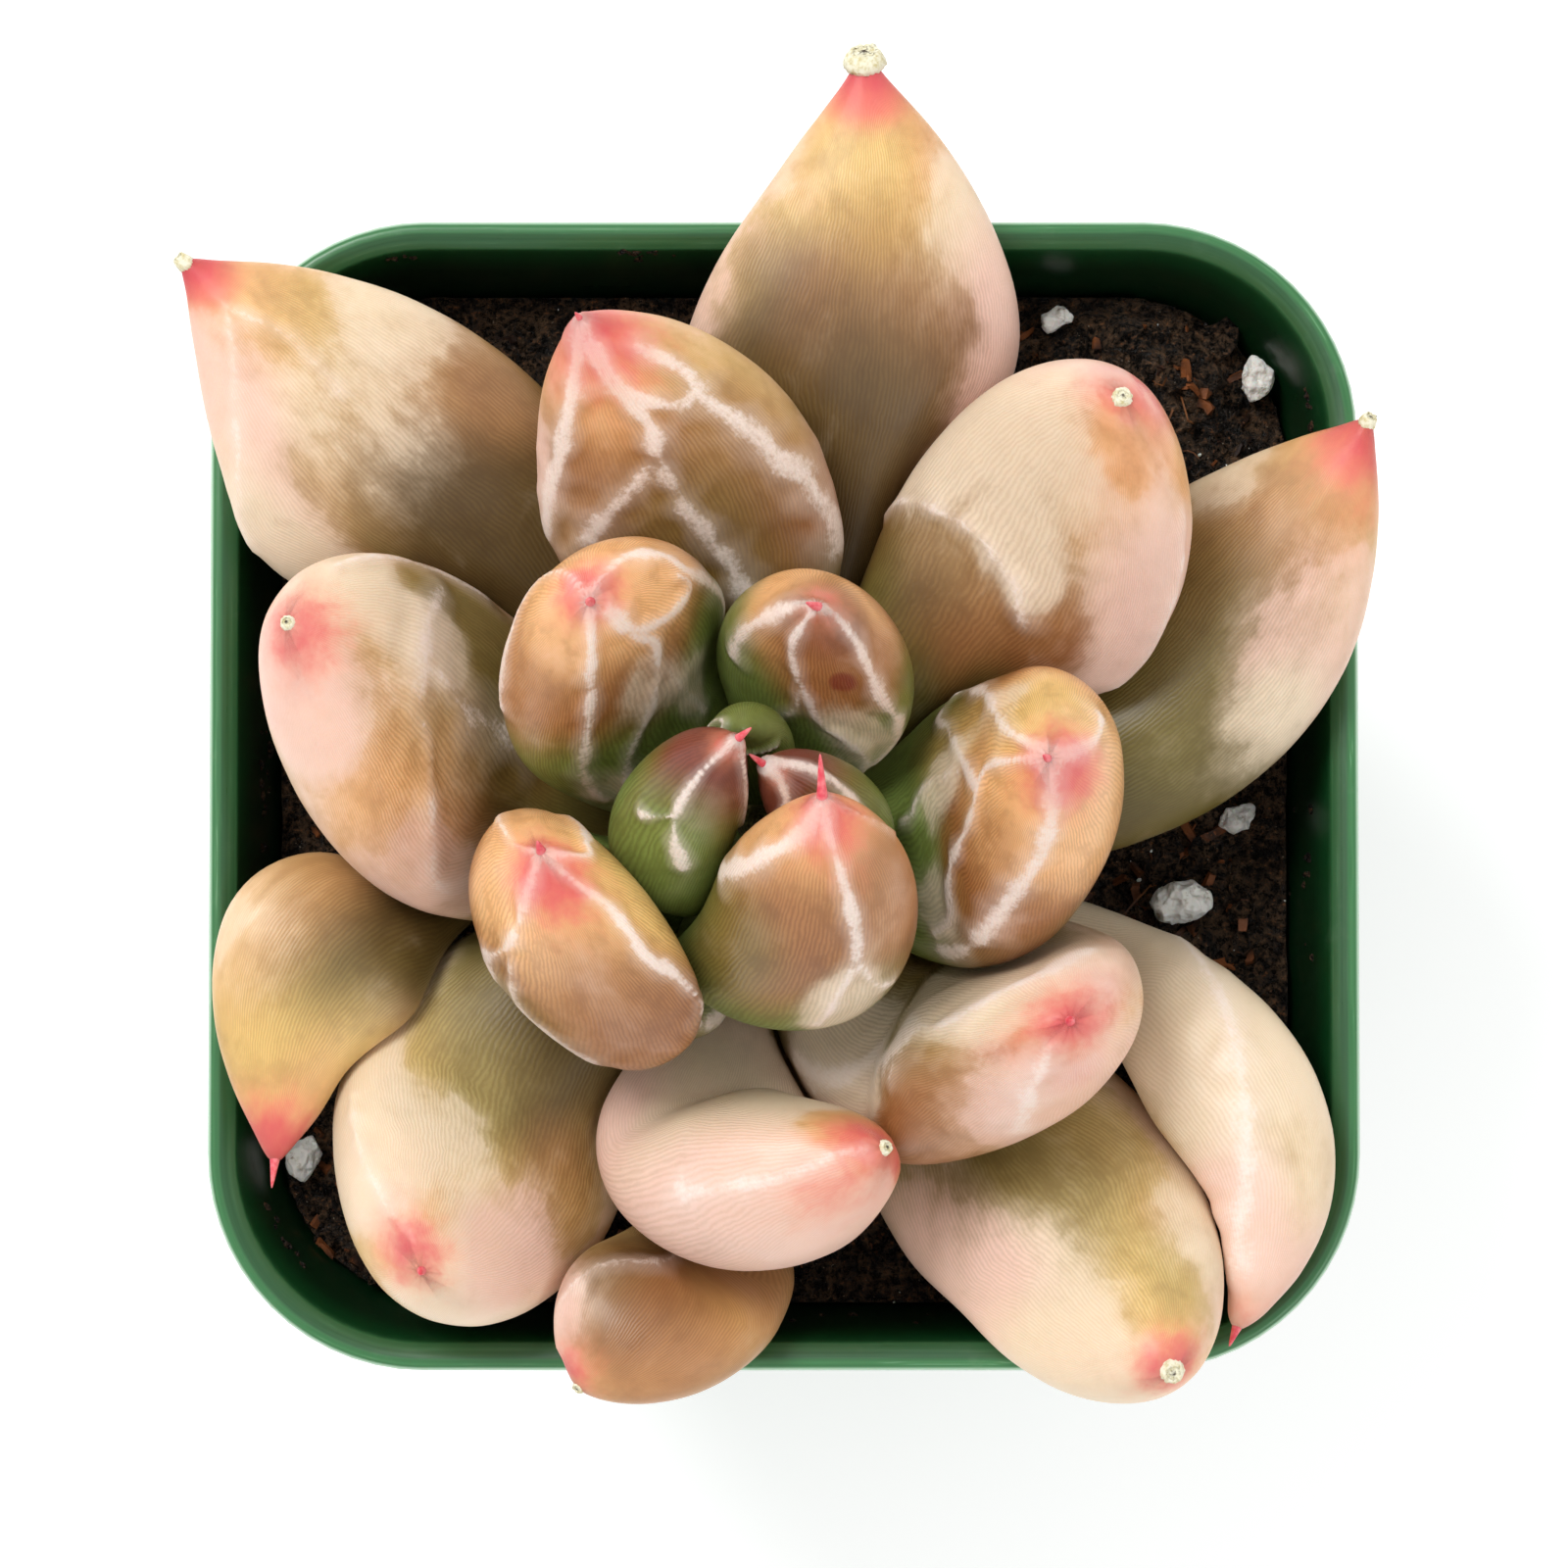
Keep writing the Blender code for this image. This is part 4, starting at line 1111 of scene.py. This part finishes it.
def callus_shape():
    """A dried point one unit across: a corky collar with a sunken scar, modelled from a short cone."""
    deselect()
    bpy.ops.mesh.primitive_cone_add(vertices=16, radius1=0.62, radius2=0.36, depth=0.8, location=(0, 0, -0.05))
    shape = bpy.context.object

    def sink_scar():
        bpy.ops.mesh.select_all(action="DESELECT")
        bpy.ops.object.mode_set(mode="OBJECT")
        for face in shape.data.polygons:
            face.select = face.normal.z > 0.9
        bpy.ops.object.mode_set(mode="EDIT")
        bpy.ops.mesh.select_mode(type="FACE")
        bpy.ops.mesh.inset(thickness=0.12)
        bpy.ops.mesh.extrude_region_move(TRANSFORM_OT_translate={"value": (0, 0, -0.08)})
        bpy.ops.mesh.inset(thickness=0.08)

    edit(shape, sink_scar)
    subdivide(shape, 1)
    place_in_mesh(shape)
    edit(shape, lambda: bpy.ops.transform.vertex_random(offset=0.07, seed=SEED))
    places = corners(shape.data)
    middle = np.hypot(places[:, 0], places[:, 1])
    write_floats(shape.data, "scar", np.where(places[:, 2] > 0, 1.0 - middle * 4.6, 0.0).clip(0, 1))
    return shape


def copied(shape, name, where, way, size, turn=0.0):
    """A copy of a shape with its own mesh, its foot at a place and its axis along a way."""
    piece = bpy.data.objects.new(name, shape.data.copy())
    bpy.context.scene.collection.objects.link(piece)
    facing = Vector(way).to_track_quat("Z", "Y").to_matrix().to_4x4()
    scale = Matrix.Diagonal((*size, 1))
    piece.data.transform(Matrix.Translation(where) @ facing @ Matrix.Rotation(turn, 4, "Z") @ scale)
    return piece


def discard(*objects):
    for obj in objects:
        bpy.data.meshes.remove(obj.data)


def make_points(look):
    """The points of the leaves: rosy spikes on the young ones, dried and corky on the old ones."""
    spike, callus = spike_shape(), callus_shape()
    rosy, dried = spike_finish(look), callus_finish()
    for name, (kind, width, length, lean) in POINTS.items():
        blade = BLADES[name]
        way = (Vector(blade.tip_way) + Vector(lean)).normalized()
        foot = Vector(blade.tip) - way * (0.2 + 0.12 * (kind == "callus") * width) * MM
        size = (width * MM, width * MM, length * MM)
        shape, material = (spike, rosy) if kind == "spike" else (callus, dried)
        piece = copied(shape, name.replace("leaf_", "point_"), foot, way, size)
        take(piece)
        bpy.ops.object.shade_smooth()
        finished(piece, material, SKINS[name])
    discard(spike, callus)


# The point of each leaf: its kind, its width and length in mm, and which way it leans.
POINTS = {
    "leaf_heart_w": ("spike", 1.3, 1.5, (0.3, 0.2, 0.2)),
    "leaf_heart_e": ("spike", 1.3, 1.5, (-0.4, 0.3, 0.2)),
    "leaf_inner_s": ("spike", 1.5, 2.6, (0, 0.9, 0.1)),
    "leaf_inner_n": ("spike", 1.4, 1.3, (-0.6, 0, 0)),
    "leaf_inner_nw": ("spike", 1.5, 1.2, (0, 0, 0.3)),
    "leaf_inner_sw": ("spike", 1.5, 1.2, (0, 0.3, 0.3)),
    "leaf_inner_e": ("spike", 1.3, 1.0, (-0.4, 0.2, 0.3)),
    "leaf_middle_n": ("spike", 1.2, 0.9, (0, 0, 0.2)),
    "leaf_middle_ne": ("callus", 1.3, 0.9, (0, 0, 0.2)),
    "leaf_middle_w": ("callus", 1.0, 0.9, (0, 0, 0.2)),
    "leaf_middle_s": ("callus", 1.0, 0.8, (0, 0, 0.3)),
    "leaf_middle_se": ("spike", 1.2, 0.8, (0, 0, 0.3)),
    "leaf_lower_sw": ("spike", 1.1, 0.8, (0, 0, 0.3)),
    "leaf_lower_se": ("callus", 1.6, 1.2, (0, 0, 0.3)),
    "leaf_outer_n": ("callus", 2.6, 1.6, (0, 0, 0.5)),
    "leaf_outer_nw": ("callus", 1.1, 1.4, (0, 0, 0.1)),
    "leaf_outer_e": ("callus", 1.1, 1.2, (0, 0, 0.2)),
    "leaf_outer_w": ("spike", 1.2, 1.4, (0, 0, 0)),
    "leaf_outer_s": ("callus", 0.9, 0.7, (0, 0, 0.3)),
    "leaf_outer_se": ("spike", 1.2, 1.0, (0, 0, 0)),
}
SKINS = {
    name: ("middle" if group == "lower" else group) + "_leaf_skin"
    for group, names in WHORLS.items()
    for name in names
}


# ---------------------------------------------------------------- pot and soil

# The corners of the pot that are rounded off, in degrees.
SHARP_EDGE = 35


def make_pot(look):
    """The square pot, with its moulded edges softened."""
    piece = cloned("pot", "nursery_pot")
    edit(piece, lambda: bpy.ops.mesh.dissolve_limited(angle_limit=math.radians(0.5)))
    sharp = math.radians(SHARP_EDGE)
    modify(piece, "BEVEL", width=look.edge_round, segments=2, limit_method="ANGLE", angle_limit=sharp)
    smooth(piece, SHARP_EDGE)
    finished(piece, plastic_finish(look), "green_plastic", "pot")


def make_bed(look):
    """The soil in the pot, heaped and crumbly on top and plain where the pot hides it."""
    bed = cloned("soil", "soil_bed")
    modify(bed, "REMESH", mode="VOXEL", voxel_size=look.grain)
    places = corners(bed.data)
    facing = np.zeros(len(places) * 3, np.float32)
    bed.data.vertices.foreach_get("normal", facing)
    rise = facing.reshape(-1, 3)[:, 2]
    surface = bed.vertex_groups.new(name="surface")
    for index in np.flatnonzero((rise > 0.4) & (places[:, 2] > SOIL_FOOT)):
        surface.add([int(index)], float(min(1, rise[index])), "REPLACE")
    for pitch, height in ((7.0, 1.8), (2.4, 2.4), (0.9, 1.5)):
        roughen(bed, clouds("clods", pitch * MM), height * MM, 0.55, direction="Z", vertex_group="surface")
    smooth(bed)
    finished(bed, soil_finish("damp_peat", look, 0.5 * MM), "potting_soil", "soil")


def lump_shape(faces, stretch, ragged, seed):
    """A rough grain one unit across, modelled from a low ball pushed out of true."""
    deselect()
    bpy.ops.mesh.primitive_ico_sphere_add(subdivisions=faces, radius=0.5)
    shape = bpy.context.object
    shape.scale = stretch
    place_in_mesh(shape)
    edit(shape, lambda: bpy.ops.transform.vertex_random(offset=ragged, seed=seed))
    return shape


def chip_shape(stretch, ragged, seed):
    """A splinter one unit long, modelled from a thin block cut and pushed out of true."""
    deselect()
    bpy.ops.mesh.primitive_cube_add(size=1, scale=stretch)
    shape = bpy.context.object
    place_in_mesh(shape)

    def splinter():
        bpy.ops.mesh.bisect(plane_co=(0.15, 0, 0), plane_no=(1, 0.5, 0.2))
        bpy.ops.mesh.select_all(action="SELECT")
        bpy.ops.mesh.bisect(plane_co=(-0.2, 0, 0), plane_no=(1, -0.4, 0.3))
        bpy.ops.mesh.select_all(action="SELECT")
        bpy.ops.transform.vertex_random(offset=ragged, seed=seed)

    edit(shape, splinter)
    return shape


def fibre_shape(bow, curl):
    """A loose fibre one unit long: a bent curve given a thin round section."""
    deselect()
    bpy.ops.curve.primitive_bezier_curve_add(radius=0.5)
    shape = bpy.context.object
    line = shape.data
    line.bevel_depth = 0.016
    line.bevel_resolution = 0
    line.resolution_u = 5
    start, end = line.splines[0].bezier_points
    start.handle_right = start.co + Vector((0.3, bow, curl))
    end.handle_left = end.co + Vector((-0.3, bow * 0.6, -curl))
    take(shape)
    bpy.ops.object.convert(target="MESH")
    return bpy.context.object


def soil_spots(rng, count, sink, margin):
    """Places on the soil bed, with the way that the ground faces there."""
    bed = bpy.data.objects["soil_bed"]
    ground = BVHTree.FromObject(bed, bpy.context.evaluated_depsgraph_get())
    found = []
    while len(found) < count:
        across = rng.uniform(SOIL_LOW.x + margin, SOIL_HIGH.x - margin)
        deep = rng.uniform(SOIL_LOW.y + margin, SOIL_HIGH.y - margin)
        spot, facing, _, _ = ground.ray_cast(Vector((across, deep, RIM_TOP)), Vector((0, 0, -1)))
        if spot and facing.z > 0.25 and spot.z > SOIL_FOOT:
            found.append((spot - facing * sink, facing))
    return found


def scattered(name, shapes, spots, sizes, rng, material, slot, lean):
    """Copies of a few shapes over many spots, joined as one piece. Its sizes are in millimetres."""
    copies = []
    for spot, facing in spots:
        size = (sizes[0] + (sizes[1] - sizes[0]) * rng.random() ** 2.2) * MM
        way = facing + Vector((rng.uniform(-lean, lean), rng.uniform(-lean, lean), 0.2))
        bulk = (size * rng.uniform(0.8, 1.25), size * rng.uniform(0.8, 1.25), size)
        copies.append(copied(rng.choice(shapes), name, spot, way, bulk, rng.uniform(0, 6.28)))
    deselect()
    for piece in copies:
        piece.select_set(True)
    bpy.context.view_layer.objects.active = copies[0]
    bpy.ops.object.join()
    piece = bpy.context.object
    piece.name = name
    discard(*shapes)
    smooth(piece, 30)
    finished(piece, material, slot)


def make_litter(look):
    """All that lies loose on the soil: crumbs, chips of bark, fibres and bright grains."""
    rng = random.Random(SEED)

    def strew(name, shapes, count, sink, margin, sizes, material, slot="potting_soil", lean=1.2):
        spots = soil_spots(rng, count, sink * MM, margin * MM)
        scattered(name, shapes, spots, sizes, rng, material, slot, lean)

    lumps = [lump_shape(2, (1, 0.8, 0.7), 0.16, SEED + n) for n in range(4)]
    peat = soil_finish("peat_crumb", look, 0.35 * MM)
    strew("peat_lumps", lumps, look.lumps, 0.1, 2.5, (1.0, 3.4), peat)
    crumbs = [lump_shape(1, (1, 0.8, 0.7), 0.15, SEED + 9 + n) for n in range(4)]
    strew("peat_crumbs", crumbs, look.crumbs, 0.05, 1.2, (0.4, 1.6), peat)
    chips = [chip_shape((1, 0.34, 0.2), 0.09, SEED + 20 + n) for n in range(4)]
    bark = bark_finish("bark", look.bark, paint(38, 22, 14), 0.3 * MM)
    strew("bark_chips", chips, look.chips, -0.1, 2, (0.3, 1.7), bark)
    fibres = [fibre_shape(bow, curl) for bow, curl in ((0.3, 0.12), (-0.5, 0.2), (0.15, -0.1))]
    straw = bark_finish("fibre", paint(150, 96, 54), paint(70, 42, 26), 0.2 * MM)
    strew("loose_fibres", fibres, look.fibres, -0.35, 5, (1.2, 5.0), straw, lean=2.5)
    # Small white grains of grit, which also stand in for the wet glints on the peat: partly real grit, partly
    # painted highlight.
    glints = [lump_shape(1, (1, 0.8, 0.6), 0.12, SEED + 40 + n) for n in range(3)]
    grit = grit_finish("bright_grit", look)
    strew("bright_grit", glints, look.glints, -0.05, 0, (0.1, 0.36), grit, "perlite_white")


def make_splashes(look):
    """Crumbs of soil stuck to the lip and the inner walls."""
    rng = random.Random(SEED + 3)
    pot = bpy.data.objects["nursery_pot"]
    wall = BVHTree.FromObject(pot, bpy.context.evaluated_depsgraph_get())
    spots = []
    for across, deep, below, spread, count in SPLASHES:
        for _ in range(count):
            start = Vector((0, 0, RIM_TOP - below * MM - abs(rng.gauss(0, 0.5)) * spread * MM))
            aim = Vector((across + rng.gauss(0, spread), deep + rng.gauss(0, spread), 0)) * MM
            spot, facing, _, _ = wall.ray_cast(start, aim.normalized())
            if spot:
                spots.append((spot, facing))
    crumbs = [lump_shape(1, (1, 0.8, 0.5), 0.15, SEED + 50 + n) for n in range(3)]
    peat = soil_finish("stuck_peat", look, 0.3 * MM)
    scattered("stuck_crumbs", crumbs, spots, (0.3, 0.9), rng, peat, "potting_soil", 0.6)


# Where soil has splashed: across, deep, below the rim, spread (all in mm) and how many crumbs.
SPLASHES = (
    (-8, 31, 0.6, 1.2, 16), (-22, 31, 1.0, 0.8, 8), (-28, 28, 3.0, 1.2, 8),
    (30, 22, 3.0, 1.0, 9), (-29, -26, 4.0, 0.8, 10), (-31, 3, 5.0, 2.6, 22),
    (-31, -16, 5.0, 2.0, 10), (31, -6, 4.0, 4.0, 12), (5, -31, 4.0, 6.0, 14),
)


def make_perlite(look):
    """The large grains of perlite, each from its fixed node, swollen and pitted."""
    material = grit_finish("perlite", look)
    pits = bpy.data.textures.new("pits", "VORONOI")
    pits.noise_scale = 0.9 * MM
    for name in (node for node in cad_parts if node.startswith("perlite")):
        piece = cloned(name, name + "_grain")
        subdivide(piece, 4)
        roughen(piece, pits, 0.5 * MM, 0.35)
        roughen(piece, clouds("crust", 0.5 * MM, 3), 0.22 * MM)
        smooth(piece)
        finished(piece, material, "perlite_white", name)


def make_stem():
    """The short woody stem, cracked and knobbly."""
    piece = cloned("stem", "woody_stem")
    edit(piece, lambda: bpy.ops.mesh.tris_convert_to_quads())
    subdivide(piece, 3)
    roughen(piece, clouds("knobs", 1.4 * MM), 0.3 * MM)
    smooth(piece)
    finished(piece, stem_finish(), "stem_skin", "stem")


# ---------------------------------------------------------------- stage

# Where the two lamps hang from the pot's rim, in metres, and the second one's share of the power.
KEY_OFFSET = Vector((-0.2, 0.22, 0.42))
FILL_OFFSET = Vector((0.35, -0.30, 0.35))
FILL_SHARE = 0.35


def add_lamp(name, where, aim, size, power):
    """A large round lamp that faces the plant."""
    deselect()
    bpy.ops.object.light_add(type="AREA", location=where)
    lamp = bpy.context.object
    lamp.name = name
    lamp.data.shape = "DISK"
    lamp.data.size = size
    lamp.data.energy = power
    lamp.rotation_euler = (aim - where).to_track_quat("-Z", "Y").to_euler()


def make_stage(look):
    """The tabletop, the lights of a small studio and the camera almost straight above."""
    deselect()
    bpy.ops.mesh.primitive_plane_add(size=4)
    floor = bpy.context.object
    floor.name = "tabletop"
    edit(floor, lambda: bpy.ops.mesh.subdivide(number_cuts=7))
    floor.data.materials.append(floor_finish(look))
    room = bpy.data.worlds.new("studio")
    room.use_nodes = True
    sky = room.node_tree.nodes["Background"].inputs
    sky["Color"].default_value = (1, 1, 1, 1)
    sky["Strength"].default_value = look.room_light
    bpy.context.scene.world = room
    bpy.context.scene.view_settings.view_transform = "Standard"
    crown = Vector((0, 0, RIM_TOP))
    add_lamp("key", crown + KEY_OFFSET, crown, 0.22, look.key_light)
    add_lamp("fill", crown + FILL_OFFSET, crown, 0.35, look.key_light * FILL_SHARE)
    bpy.ops.object.camera_add()
    camera = bpy.context.object
    camera.name = "camera_above"
    camera.data.lens = 100
    camera.data.sensor_width = 36
    camera.data.clip_start = 0.01
    tilt = look.camera_tilt
    aim = crown + Vector((0, 0.52 * MM, 0))
    camera.location = aim + Vector((0, -math.sin(tilt), math.cos(tilt))) * look.camera_height
    camera.rotation_euler = (tilt, 0, 0)
    bpy.context.scene.camera = camera


# ---------------------------------------------------------------- operators, panel and run

class SUCCULENT_OT_pot(bpy.types.Operator):
    """Make the pot"""

    bl_idname = "succulent.pot"
    bl_label = "Pot"

    def execute(self, context):
        make_pot(context.scene.succulent_pot)
        return {"FINISHED"}


class SUCCULENT_OT_soil(bpy.types.Operator):
    """Make the soil bed and all that lies on it"""

    bl_idname = "succulent.soil"
    bl_label = "Soil and litter"

    def execute(self, context):
        make_bed(context.scene.succulent_soil)
        make_litter(context.scene.succulent_soil)
        make_splashes(context.scene.succulent_soil)
        return {"FINISHED"}


class SUCCULENT_OT_perlite(bpy.types.Operator):
    """Make the large grains of perlite"""

    bl_idname = "succulent.perlite"
    bl_label = "Perlite"

    def execute(self, context):
        make_perlite(context.scene.succulent_soil)
        return {"FINISHED"}


class SUCCULENT_OT_stem(bpy.types.Operator):
    """Make the woody stem"""

    bl_idname = "succulent.stem"
    bl_label = "Stem"

    def execute(self, context):
        make_stem()
        return {"FINISHED"}


class SUCCULENT_OT_young_leaves(bpy.types.Operator):
    """Make the heart and the inner leaves"""

    bl_idname = "succulent.young_leaves"
    bl_label = "Young leaves"

    def execute(self, context):
        look = context.scene.succulent_leaves
        for group, rough in (("heart", 0.38), ("inner", 0.36)):
            material = leaf_finish(group + "_leaf_skin", look, rough, 0.85, RIPPLES[group])
            make_leaves(group, WHORLS[group], group + "_leaf_skin", material, look)
        return {"FINISHED"}


class SUCCULENT_OT_grown_leaves(bpy.types.Operator):
    """Make the middle, lower and outer leaves"""

    bl_idname = "succulent.grown_leaves"
    bl_label = "Grown leaves"

    def execute(self, context):
        look = context.scene.succulent_leaves
        for group, rough in (("middle", 0.42), ("lower", 0.44), ("outer", 0.44)):
            material = leaf_finish(group + "_leaf_coat", look, rough, 0.55, RIPPLES[group])
            make_leaves(group, WHORLS[group], SKINS[WHORLS[group][0]], material, look)
        return {"FINISHED"}


class SUCCULENT_OT_points(bpy.types.Operator):
    """Make the points at the ends of the leaves"""

    bl_idname = "succulent.points"
    bl_label = "Leaf points"

    def execute(self, context):
        make_points(context.scene.succulent_leaves)
        return {"FINISHED"}


class SUCCULENT_OT_stage(bpy.types.Operator):
    """Set the tabletop, the lights and the camera"""

    bl_idname = "succulent.stage"
    bl_label = "Stage"

    def execute(self, context):
        make_stage(context.scene.succulent_stage)
        return {"FINISHED"}


STEPS = (
    SUCCULENT_OT_stage, SUCCULENT_OT_pot, SUCCULENT_OT_soil, SUCCULENT_OT_perlite, SUCCULENT_OT_stem,
    SUCCULENT_OT_young_leaves, SUCCULENT_OT_grown_leaves, SUCCULENT_OT_points,
)
SETTINGS = {
    "succulent_leaves": LeafSettings,
    "succulent_pot": PotSettings,
    "succulent_soil": SoilSettings,
    "succulent_stage": StageSettings,
}


class SUCCULENT_PT_steps(bpy.types.Panel):
    """The steps in order, with their settings"""

    bl_idname = "SUCCULENT_PT_steps"
    bl_label = "Potted succulent"
    bl_space_type = "VIEW_3D"
    bl_region_type = "UI"
    bl_category = "Succulent"

    def draw(self, context):
        for step in STEPS:
            self.layout.operator(step.bl_idname)
        for name, group in SETTINGS.items():
            box = self.layout.box()
            box.label(text=group.__doc__)
            for setting in group.__annotations__:
                box.prop(getattr(context.scene, name), setting)


def register():
    for group in SETTINGS.values():
        bpy.utils.register_class(group)
    for name, group in SETTINGS.items():
        setattr(bpy.types.Scene, name, bpy.props.PointerProperty(type=group))
    for step in (*STEPS, SUCCULENT_PT_steps):
        bpy.utils.register_class(step)


def unregister():
    for step in (SUCCULENT_PT_steps, *reversed(STEPS)):
        bpy.utils.unregister_class(step)
    for name, group in SETTINGS.items():
        delattr(bpy.types.Scene, name)
        bpy.utils.unregister_class(group)


def main():
    register()
    for step in STEPS:
        family, verb = step.bl_idname.split(".")
        getattr(getattr(bpy.ops, family), verb)()


if __name__ == "__main__":
    main()
